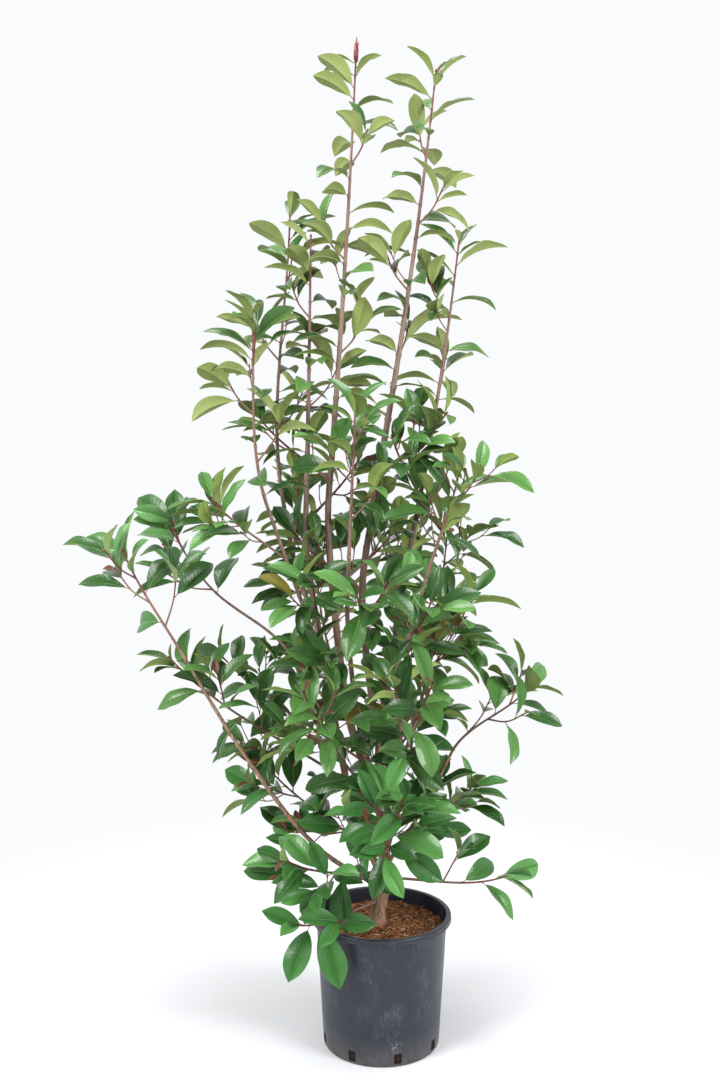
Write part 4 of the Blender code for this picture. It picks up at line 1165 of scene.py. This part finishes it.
for index, spray in enumerate(sprays):
    rng = random.Random(spray.name + " finer")
    standing = grown_sprays[index]
    hosts = len(standing)
    count = finer_twigs_of(spray)
    for i in range(count):
        host = standing[i % hosts]
        shift = rng.uniform(-FINE_TWIG_SHIFT, FINE_TWIG_SHIFT)
        share = blend(*FINE_TWIG_PLACES, (i + 0.5) / count + shift)
        spot, direction = along_route(host.fine, share)
        for route, length in twig_tries(spray, i + 0.5, share, spot, direction, rng, FINE_TWIG_SIZE):
            widths = tapered(route, FINE_TWIG_FOOT, FINE_TWIG_TIP)
            solid = tube(route, widths, TWIG_SIDES, 2.0 * FINE_TWIG_TIP)
            inside = distance_to_route(route[-1], standing[0].route) < TWIG_REACH * spray.reach
            if inside and space.free(*solid, skip=(host.number,)):
                number = space.add(*solid)
                fine = smooth_route(route, TWIG_SPAN_STEPS)
                standing.append(Standing(route, FINE_TWIG_BARE * length, fine, number, [], 2))
                break
    for twig in standing if count else ():
        turn = rng.uniform(0.0, 2.0 * math.pi)
        total = length_of(twig.fine)
        places = list(leaf_places(total, twig.bare))
        if twig.rank < 2:
            for k, back in enumerate(CROWDED_PLACES):
                grow_between(index, twig, k, back, CROWDED_LENGTHS, turn, rng)
            places = [0.5 * (a + b) for a, b in zip(places, places[1:]) if b - a > WIDE_GAP]
            places = [back for back in places if back < total - twig.bare]
        for k, back in enumerate(places):
            young = blend(YOUNG_LEAF_LENGTH, LEAF_LENGTH, back / GROWN_DISTANCE) / LEAF_LENGTH
            lengths = [young * length for length in BETWEEN_LENGTHS]
            grow_between(index, twig, k, back, lengths, turn, rng)
    for twig in (t for t in standing if t.rank < 2 or t.shares):
        foot = (leader_foot_width(spray), SIDE_TWIG_FOOT, FINE_TWIG_FOOT)[twig.rank]
        tip = (LEADER_TIP, SIDE_TWIG_TIP, FINE_TWIG_TIP)[twig.rank]
        twigs.append(Twig(index, twig.fine, foot, tip, twig.rank, sorted(twig.shares)))

# The youngest leaves of the two tallest shoots fan out at the tip: their angle from upright, and their size
OPEN_TIPS = {"foliage_tall_a": (54.0, 0.72), "foliage_tall_b": (25.0, 1.0)}
YOUNGEST_LEAVES = 0.03
FAN_BELOW_TIP = 0.05
FAN_DEPTH = 0.4
side = 1.0
for i, leaf in enumerate(leaves):
    spray = sprays[leaf.spray]
    at_tip = leaf.back < YOUNGEST_LEAVES and leaf.root.z > spray.tip[2] - FAN_BELOW_TIP
    if spray.name in OPEN_TIPS and at_tip:
        side = -side
        outward = Vector((side, math.copysign(FAN_DEPTH, leaf.along.y), 0.0)).normalized()
        angle, size = OPEN_TIPS[spray.name]
        along = UP * math.cos(math.radians(angle)) + outward * math.sin(math.radians(angle))
        face = (UP - along * along.z).normalized()
        leaves[i] = leaf._replace(along=along, face=face, length=size * leaf.length)

# Twig bark: thin and smooth with swollen nodes, pinkish brown where it is a year old and red where it is new
TWIG_TONES = ("#6e5a4b", "#664c40", "#5e3029")
twig_bark = []
for i, tone in enumerate(TWIG_TONES):
    made, tree, shader = finish_of(f"smooth twig bark {i + 1}", tone, 0.5, 1.45)
    twig_bark.append(made)
    place = add_node(tree, "TexCoord").outputs["Object"]
    skin = add_node(tree, "TexNoise", {"Scale": per_mm(1.6), "Detail": 3.0}, {"Vector": place})
    bump = add_node(tree, "Bump", {"Strength": 0.3, "Distance": 0.0004}, {"Height": skin})
    feed(shader, {"Normal": bump})

# By rank: the step along a twig, its facets, and how far back from its tip it is red and then brown
TWIG_STEP = (0.006, 0.005, 0.005)
TWIG_FACETS = (10, 7, 6)
RED_TIP = (0.10, 0.05, 0.04)
BROWN_TIP = (0.38, 0.16, 0.10)
TWIG_POINT = 0.002
LEADER_SUNK = 0.004
NODE_SWELL = 0.28
NODE_LENGTH = 0.0024
twig_vertices, twig_faces, twig_tones = [], [], []
for twig in twigs:
    route = evened(twig.route, TWIG_STEP[twig.rank])
    facets = TWIG_FACETS[twig.rank]
    if twig.rank == 0 and sprays[twig.spray].place == 1.0:
        route[0] = route[0] - (route[1] - route[0]).normalized() * LEADER_SUNK
    total = length_of(route)
    widths = tapered(route, twig.foot_width, twig.tip_width)
    for i in range(len(route)):
        run = total * i / (len(route) - 1)
        swell = sum(math.exp(-((run - share * total) / NODE_LENGTH) ** 2) for share in twig.leaf_shares)
        widths[i] *= 1.0 + NODE_SWELL * min(1.0, swell)
    vertices, faces = skinned(route, widths, facets, point=TWIG_POINT)
    first = len(twig_vertices)
    twig_vertices += vertices
    for number, face in enumerate(faces):
        twig_faces.append(tuple(first + c for c in face))
        back = total * (1.0 - min(1.0, (number // facets) / (len(route) - 1)))
        twig_tones.append(2 if back < RED_TIP[twig.rank] else 1 if back < BROWN_TIP[twig.rank] else 0)
twig_piece = add_piece("twigs", twig_vertices, twig_faces, twig_bark, twig_tones)
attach(twig_piece, "root")


# The leaves
# Evergreen leaves like thin leather, each on a short red stalk. The blade is folded up along its midrib,
# arches over to a drooping tip and is glossy above and matt below. New ones at the tips are often bronzed.
STATIONS = 13
STALK_SHARE = 0.10
BLADE_THICKNESS = 0.0005
EDGE_THINNING = 0.6
TIP_THICKNESS = 0.0002
RIB_HALF_WIDTH = 0.0006
RIB_NARROWING = 0.7
RIB_DEPTH = 0.0009
RIB_THINNING = 0.85
WIDEST_RIB = 0.3
STALK_RADIUS = 0.00085
STALK_OVERLAP = 0.03
STALK_FACETS = 5
STALK_SWELL = (1.7, 1.1, 1.0, 0.8)
LEAF_ARCH = 1.12
FOLDS = (18.0, 32.0)
YOUNG_FOLD = 8.0
DROOPS = (10.0, 30.0)
TWISTS = (-18.0, 18.0)
WAVES = (0.03, 0.09)
WAVE_COUNTS = (1.2, 2.4)
FULLNESS = (0.78, 1.0)
RIB_COLUMN = 0.1
COLUMNS = (-1.0, -0.55, -RIB_COLUMN, 0.0, RIB_COLUMN, 0.55, 1.0)
UPPER, RIB, UNDER, STALK = range(4)
stations = np.linspace(0.0, 1.0, STATIONS)
columns = np.array(COLUMNS)

# The outline is a wedge at its foot, widest a little past the middle, and drawn out to a narrow point
FOOT_POWER = 1.12
TIP_POWER = 0.95
POINT_FROM = 0.8
POINT_LENGTH = 0.2
POINT_NARROWING = 0.35
TIP_WIDTH = 0.008
outline = (stations + 0.01) ** FOOT_POWER * (1.0 - stations) ** TIP_POWER
outline *= 1.0 - POINT_NARROWING * np.clip((stations - POINT_FROM) / POINT_LENGTH, 0.0, 1.0)
outline /= outline.max()
outline[-1] = TIP_WIDTH

# One leaf's faces: upper and lower layer, the edges all round, and the stalk
leaf_faces, leaf_parts = [], []
across_count = len(COLUMNS)
layer = STATIONS * across_count
for i in range(STATIONS - 1):
    for j in range(across_count - 1):
        a = i * across_count + j
        b = a + across_count
        on_rib = abs(COLUMNS[j]) + abs(COLUMNS[j + 1]) < 2.0 * RIB_COLUMN
        leaf_faces += [(a, b, b + 1, a + 1), (layer + a, layer + a + 1, layer + b + 1, layer + b)]
        leaf_parts += [RIB, RIB] if on_rib else [UPPER, UNDER]
    near = i * across_count
    far = near + across_count - 1
    leaf_faces.append((near + across_count, near + layer + across_count, near + layer, near))
    leaf_faces.append((far, far + layer, far + layer + across_count, far + across_count))
    leaf_parts += [UNDER] * 2
for j in range(across_count - 1):
    end = layer - across_count + j
    leaf_faces += [(j, j + 1, layer + j + 1, layer + j), (end + 1, end, layer + end, layer + end + 1)]
    leaf_parts += [UNDER] * 2
for i in range(len(STALK_SWELL) - 1):
    for k in range(STALK_FACETS):
        m = (k + 1) % STALK_FACETS
        a = 2 * layer + i * STALK_FACETS
        leaf_faces.append((a + k, a + m, a + STALK_FACETS + m, a + STALK_FACETS + k))
        leaf_parts.append(STALK)
leaf_corner_count = 2 * layer + len(STALK_SWELL) * STALK_FACETS
blade_places = np.zeros((leaf_corner_count, 2))
blade_places[:2 * layer, 0] = np.tile(np.abs(columns), 2 * STATIONS)
blade_places[:2 * layer, 1] = np.tile(np.repeat(stations, across_count), 2)


def spine_of(leaf, bend, shares):
    """Places along a leaf's arched midrib, as shares of its length."""
    root, along, face = (np.array(v) for v in (leaf.root, leaf.along, leaf.face))
    angle = bend * shares
    return (root + np.outer(np.sin(angle), along) * (leaf.length / bend)
            - np.outer(1.0 - np.cos(angle), face) * (leaf.length / bend))


def leaf_corners(leaf, width_share, rng):
    """Where a leaf's corners are: the arched midrib, the folded and drooping halves, and the stalk."""
    along, face = np.array(leaf.along), np.array(leaf.face)
    side = np.cross(along, face)
    side /= np.linalg.norm(side)
    bend = leaf.bend * LEAF_ARCH
    half_width = 0.5 * leaf.length * width_share * (1.0 - STALK_SHARE)
    young = leaf.back < OPEN_DISTANCE / 2.0
    fold = math.radians(rng.uniform(*FOLDS) + (YOUNG_FOLD if young else 0.0))
    droop = math.radians(rng.uniform(*DROOPS))
    twist = math.radians(rng.uniform(*TWISTS))
    waves = rng.uniform(*WAVES)
    wave_count = rng.uniform(*WAVE_COUNTS)
    wave_start = rng.uniform(0.0, 2.0 * math.pi)
    half = (half_width * outline ** rng.uniform(*FULLNESS))[:, None]
    shares = STALK_SHARE + (1.0 - STALK_SHARE) * stations
    spine = spine_of(leaf, bend, shares)
    angle = bend * shares
    normal = np.outer(np.cos(angle), face) + np.outer(np.sin(angle), along)
    turn = (twist * stations)[:, None]
    across = side * np.cos(turn) + normal * np.sin(turn)
    normal = normal * np.cos(turn) - side * np.sin(turn)
    rib = RIB_HALF_WIDTH * (1.0 - RIB_NARROWING * stations)[:, None]
    u = np.repeat(np.abs(columns)[None, :], STATIONS, 0)
    u[:, np.isclose(np.abs(columns), RIB_COLUMN)] = np.minimum(WIDEST_RIB, rib / half)
    reach = (np.sin(fold) - np.sin(fold - droop * u)) / droop * half
    rise = (np.cos(fold - droop * u) - np.cos(fold)) / droop * half
    rise = rise + half * u * u * waves * np.sin(2.0 * math.pi * wave_count * stations[:, None] + wave_start)
    rise[:, columns == 0.0] -= 0.3 * RIB_DEPTH
    upper = (spine[:, None, :] + across[:, None, :] * (reach * np.sign(columns))[..., None]
             + normal[:, None, :] * rise[..., None])
    thickness = np.full((STATIONS, across_count), BLADE_THICKNESS)
    thickness[:, [0, -1]] *= EDGE_THINNING
    thickness[:, columns == 0.0] += RIB_DEPTH * (1.0 - RIB_THINNING * stations)[:, None]
    thickness[-1] = TIP_THICKNESS
    lower = upper - normal[:, None, :] * thickness[..., None]
    corners = [upper.reshape(-1, 3), lower.reshape(-1, 3)]
    ring = 2.0 * np.pi * np.arange(STALK_FACETS) / STALK_FACETS
    stalk_shares = np.linspace(0.0, STALK_SHARE + STALK_OVERLAP, len(STALK_SWELL))
    for centre, swell in zip(spine_of(leaf, bend, stalk_shares), STALK_SWELL):
        radius = STALK_RADIUS * swell
        corners.append(centre - face * (0.4 * BLADE_THICKNESS) + np.outer(np.cos(ring), side) * radius
                       + np.outer(np.sin(ring), face) * radius)
    return np.concatenate(corners)


# Leaf tones by where a spray stands. They are partly the leaves' own colour and partly painted light: each
# zone's tones are set to how light or dark its leaves look at that height, so leaves at the top are yellower
# and seen from below, with painted light in their pale undersides, and the low ones are a full green. Each
# zone: three tones above, two below, midrib, stalk, how broad and how large its leaves are, and by how many
# degrees they may roll to look to the front, where the light came from
Zone = namedtuple("Zone", "uppers unders rib stalk widths size roll")
ZONES = {
    "top": Zone(("#2f4b22", "#243f1b", "#3f5f2c"), ("#848f55", "#76834a"), "#7f9050", "#6a342b",
                (0.41, 0.49), 1.0, 0.0),
    "middle": Zone(("#345727", "#27461e", "#436a33"), ("#7d8e4c", "#6d7f44"), "#5f8a48", "#6f382e",
                   (0.39, 0.47), 1.04, 14.0),
    "low": Zone(("#33602c", "#284f21", "#457638"), ("#768b54", "#82955c"), "#678d52", "#7a4938",
                (0.42, 0.51), 1.04, 26.0),
    "arm": Zone(("#39602e", "#2c4d24", "#4a7440"), ("#82945c", "#728352"), "#6b8d56", "#7e4438",
                (0.43, 0.52), 1.08, 38.0),
}
TOP_FROM = 1.28
LOW_BELOW = 0.72
LEAST_FACING = 0.3
LEAF_SHARP_ANGLE = 50.0


def zone_of(spray):
    """Which zone of the crown a spray stands in."""
    if spray.name in ARMS:
        return "arm"
    if 0.5 * (spray.tip[2] + along_route(stands[spray.limb].route, spray.place)[0].z) > TOP_FROM:
        return "top"
    return "low" if spray.tip[2] < LOW_BELOW else "middle"


def turned_to_light(leaf, most):
    """The same leaf, rolled about its stalk by a limited angle so that its upper face looks to the front."""
    facing = FORWARD - leaf.along * FORWARD.dot(leaf.along)
    if facing.length < LEAST_FACING:
        return leaf
    facing.normalize()
    roll = math.atan2(leaf.along.dot(leaf.face.cross(facing)), leaf.face.dot(facing))
    return leaf._replace(face=Quaternion(leaf.along, min(most, max(-most, roll))) @ leaf.face)


def leaf_skin(name, tone, roughness, shine, relief):
    """A leaf finish of one plain tone, pebbled, with side veins that slant from the midrib to the edge."""
    made, tree, shader = finish_of(name, tone, roughness, 1.45, shine)
    place = add_node(tree, "TexCoord").outputs["Object"]
    pebbles = add_node(tree, "TexNoise", {"Scale": per_mm(7.0), "Detail": 3.0}, {"Vector": place})
    blade = add_node(tree, "UVMap", {"uv_map": "blade"})
    on_blade = add_node(tree, "SeparateXYZ", {}, {"Vector": blade})
    slant = add_node(tree, "Math", {"operation": "MULTIPLY_ADD", 1: -VEIN_SLANT},
                     {0: on_blade.outputs["X"], 2: on_blade.outputs["Y"]})
    turns = add_node(tree, "Math", {"operation": "MULTIPLY", 1: 2.0 * math.pi * VEIN_COUNT}, {0: slant})
    waves = add_node(tree, "Math", {"operation": "SINE"}, {0: turns})
    veins = add_node(tree, "Math", {"operation": "MULTIPLY_ADD", 1: 0.4}, {0: waves, 2: pebbles})
    bump = add_node(tree, "Bump", {"Strength": relief, "Distance": 0.0006}, {"Height": veins})
    feed(shader, {"Normal": bump})
    return made


# The upper side has a thick waxy skin, glossy and finely pebbled, and the underside a thin matt one. Now and
# then a leaf has yellowed, and the very youngest are still bronze
VEIN_COUNT = 11.0
VEIN_SLANT = 0.16
yellowed = leaf_skin("yellowed leaf", "#736b2c", 0.42, 0.3, 0.2)
bronzed = leaf_skin("bronzed young leaf", "#552b22", 0.35, 0.3, 0.2)
zone_skins = {}
for key, zone in ZONES.items():
    skins = []
    for i, tone in enumerate(zone.uppers):
        skins.append(leaf_skin(f"{key} leaf upper side {i + 1}", tone, 0.27, 0.34, 0.22))
    for i, tone in enumerate(zone.unders):
        skins.append(leaf_skin(f"{key} leaf underside {i + 1}", tone, 0.62, 0.3, 0.2))
    skins.append(finish_of(f"{key} midrib", zone.rib, 0.45, 1.45, 0.3)[0])
    skins.append(finish_of(f"{key} leaf stalk", zone.stalk, 0.45, 1.45, 0.3)[0])
    zone_skins[key] = [*skins, yellowed, bronzed]

# The slots of those skins, and how often each tone comes up
UPPER_SLOTS, UPPER_WEIGHTS = (0, 1, 2), (5, 4, 3)
UNDER_SLOTS, UNDER_WEIGHTS = (3, 4), (3, 2)
RIB_SLOT, STALK_SLOT, YELLOWED_SLOT, BRONZED_SLOT = 5, 6, 7, 8
YELLOWED_CHANCE = 0.004
BRONZED_CHANCE = 0.22
BRONZED_SIZE = 0.45
BRONZED_FROM = 0.006
MOST_TRIANGLES = 190000
triangles_of_leaf = sum(len(face) - 2 for face in leaf_faces)
face_array = np.array(leaf_faces)
part_array = np.array(leaf_parts)
leaves_of = {}
for i, leaf in enumerate(leaves):
    leaves_of.setdefault(leaf.spray, []).append(i)
for key, zone in ZONES.items():
    groups = [[]]
    held = 0
    for index in (i for i, spray in enumerate(sprays) if zone_of(spray) == key):
        count = len(leaves_of[index]) * triangles_of_leaf
        if held + count > MOST_TRIANGLES:
            groups.append([])
            held = 0
        groups[-1].append(index)
        held += count
    for number, group in enumerate(groups):
        corners, faces, indices = [], [], []
        start = 0
        for index in group:
            rng = random.Random(sprays[index].name + " leaves")
            for i in leaves_of[index]:
                leaf = turned_to_light(leaves[i], math.radians(zone.roll))
                length = zone.size * leaf.length
                tip = arc_point(leaf.root, leaf.along, leaf.face, length, leaf.bend, 1.0)
                if i not in broad and all(cad_box[0][a] < tip[a] < cad_box[1][a] for a in range(3)):
                    leaf = leaf._replace(length=length)
                upper = rng.choices(UPPER_SLOTS, UPPER_WEIGHTS)[0]
                under = rng.choices(UNDER_SLOTS, UNDER_WEIGHTS)[0]
                chance = rng.random()
                if leaf.back < BRONZED_FROM and chance < BRONZED_CHANCE:
                    upper = BRONZED_SLOT
                    leaf = leaf._replace(length=BRONZED_SIZE * leaf.length)
                elif chance > 1.0 - YELLOWED_CHANCE:
                    upper = under = YELLOWED_SLOT
                width_share = broad.get(i, rng.uniform(*zone.widths))
                corners.append(leaf_corners(leaf, width_share, rng))
                faces.append(face_array + start)
                indices.append(np.array([upper, RIB_SLOT, under, STALK_SLOT])[part_array])
                start += leaf_corner_count
        corners, faces, indices = (np.concatenate(part).tolist() for part in (corners, faces, indices))
        name = f"leaves_{key}_{number + 1}"
        piece = add_piece(name, corners, faces, zone_skins[key], indices, LEAF_SHARP_ANGLE)
        blade = piece.data.uv_layers.new(name="blade")
        corner_of = np.empty(len(piece.data.loops), dtype=np.int32)
        piece.data.loops.foreach_get("vertex_index", corner_of)
        blade.data.foreach_set("uv", blade_places[corner_of % leaf_corner_count].astype(np.float32).ravel())
        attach(piece, "root")
        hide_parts(*[sprays[i].name for i in group])


# The buds
# Each shoot ends in a pointed red bud of overlapping scales. The tallest shoot has already drawn out into a
# spire of closed scales with two small buds at its foot.
BUD_SECTIONS = ((0.0, 0.75), (0.2, 1.0), (0.45, 0.8), (0.7, 0.5), (0.9, 0.22))
BUD_SIDES = 6
BUD_SHARP_ANGLE = 40.0
BUD_SCALES = 6
SCALE_STEP = 0.11
SCALE_LENGTH = 0.42
SCALE_SHORTENING = 0.03
SCALE_HALF_WIDTH = 0.36
SCALE_CORNERS = ((0.0, 1.0, 1.0), (0.0, 1.0, -1.0), (0.5, 1.5, 0.7), (0.5, 1.5, -0.7), (1.0, 1.6, 0.0),
                 (0.3, 0.4, 0.0))
SCALE_FACES = ((0, 1, 3, 2), (2, 3, 4), (1, 0, 5), (0, 2, 5), (3, 1, 5), (2, 4, 5), (4, 3, 5))
SPIRE = (0.049, 0.0084)
SPIRE_FOOT_BUD = (0.020, 0.0042)
SPIRE_FOOT_TURNS = (0.6, 3.4)
BUD_SIZES = ((0.0095, 0.0038), (0.006, 0.0028), (0.006, 0.0028))
BUD_TONES = ("#5b2424", "#78332c")
bud_skin = [finish_of(f"red bud scale {i + 1}", tone, 0.4, 1.45)[0] for i, tone in enumerate(BUD_TONES)]
bud_vertices, bud_faces, bud_tones = [], [], []


def add_to_buds(vertices, faces, tone):
    """Joins a closed form of one tone to the buds."""
    start = len(bud_vertices)
    bud_vertices.extend(vertices)
    bud_faces.extend(tuple(start + c for c in face) for face in faces)
    bud_tones.extend([tone] * len(faces))


def add_bud(foot, heading, length, width):
    """A bud: a slim spindle with scales that stand off it in a spiral."""
    route = [foot + heading * (length * share) for share, _ in BUD_SECTIONS]
    widths = [width * share for _, share in BUD_SECTIONS]
    add_to_buds(*skinned(route, widths, BUD_SIDES, point=0.1 * length), 0)
    across = heading.orthogonal().normalized()
    for i in range(BUD_SCALES):
        outward = Quaternion(heading, GOLDEN_ANGLE * i) @ across
        side = heading.cross(outward)
        base = foot + heading * (length * SCALE_STEP * i)
        size = length * (SCALE_LENGTH - SCALE_SHORTENING * i)
        half = SCALE_HALF_WIDTH * width
        corners = [base + heading * (a * size) + outward * (b * half) + side * (c * half)
                   for a, b, c in SCALE_CORNERS]
        add_to_buds(corners, SCALE_FACES, 1)


for twig in twigs:
    tip = twig.route[-1]
    heading = (tip - twig.route[-2]).normalized()
    if twig.rank == 0 and sprays[twig.spray].name == "foliage_tall_a":
        add_bud(tip, heading, *SPIRE)
        for turn in SPIRE_FOOT_TURNS:
            outward = Quaternion(heading, turn) @ heading.orthogonal().normalized()
            add_bud(tip - heading * 0.002, (heading + 0.5 * outward).normalized(), *SPIRE_FOOT_BUD)
    else:
        add_bud(tip, heading, *BUD_SIZES[twig.rank])
buds = add_piece("buds", bud_vertices, bud_faces, bud_skin, bud_tones, BUD_SHARP_ANGLE)
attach(buds, "root")


# The studio
# A white paper floor under soft even light, with large softboxes at both sides and overhead, and the camera
# at about eye height in front of the plant, tipped down by five degrees.
FLOOR_RADIUS = 9.0
FLOOR_SIDES = 96
FLOOR_DROP = 0.0002
floor_mesh = bpy.data.meshes.new("paper floor")
angles = [2.0 * math.pi * i / FLOOR_SIDES for i in range(FLOOR_SIDES)]
ring = [(FLOOR_RADIUS * math.cos(angle), FLOOR_RADIUS * math.sin(angle), 0.0) for angle in angles]
floor_mesh.from_pydata(ring, [], [tuple(range(FLOOR_SIDES))])
floor = add_object("paper_floor", floor_mesh)
floor.location.z = -FLOOR_DROP

# The paper is a pale grey near the pot, where it takes a shadow, and fades out to the white of the backdrop
WHITE = "#fafbfd"
FADE_FROM = 0.5
FADE_TO = 1.7
paper, tree, shader = finish_of("white studio paper", "#c0c1c3", 0.85, 1.45, 0.2)
place = add_node(tree, "TexCoord").outputs["Object"]
outward = add_node(tree, "VectorMath", {"operation": "LENGTH"}, {0: place}).outputs["Value"]
fade_range = {"From Min": FADE_FROM, "From Max": FADE_TO, "interpolation_type": "SMOOTHSTEP"}
fade = add_node(tree, "MapRange", fade_range, {"Value": outward})
glow = add_node(tree, "Emission", {"Color": linear(WHITE)})
mixed = add_node(tree, "MixShader", {}, {0: fade, 1: shader, 2: glow})
feed(tree.nodes["Material Output"], {"Surface": mixed})
floor.data.materials.append(paper)

world = bpy.data.worlds.new("white studio")
bpy.context.scene.world = world
world.use_nodes = True
backdrop = world.node_tree.nodes["Background"]
backdrop.inputs["Color"].default_value = linear(WHITE)
backdrop.inputs["Strength"].default_value = 1.0


def softbox(name, spot, aim, width, height, watts):
    """A softbox: an area light at one place that faces another."""
    light = bpy.data.lights.new(name, "AREA")
    light.shape = "RECTANGLE"
    light.size = width
    light.size_y = height
    light.energy = watts
    made = add_object(name, light)
    made.location = spot
    made.rotation_euler = (Vector(aim) - Vector(spot)).to_track_quat("-Z", "Y").to_euler()


softbox("left softbox", (-2.2, -1.8, 2.3), (0.0, 0.0, 1.0), 1.2, 1.8, 135.0)
softbox("right softbox", (2.2, -1.6, 1.9), (0.0, 0.0, 0.9), 1.0, 1.8, 105.0)
softbox("overhead softbox", (0.0, -0.3, 3.6), (0.0, 0.0, 0.8), 1.8, 1.4, 130.0)

camera = add_object("camera", bpy.data.cameras.new("camera"))
camera.location = (-0.0447, -2.411, 1.2725)
camera.rotation_euler = (math.radians(84.748), 0.0, 0.0)
camera.data.sensor_width = 36.0
camera.data.lens = 39.904
camera.data.clip_end = 40.0
bpy.context.scene.camera = camera
bpy.context.scene.view_settings.view_transform = "Standard"
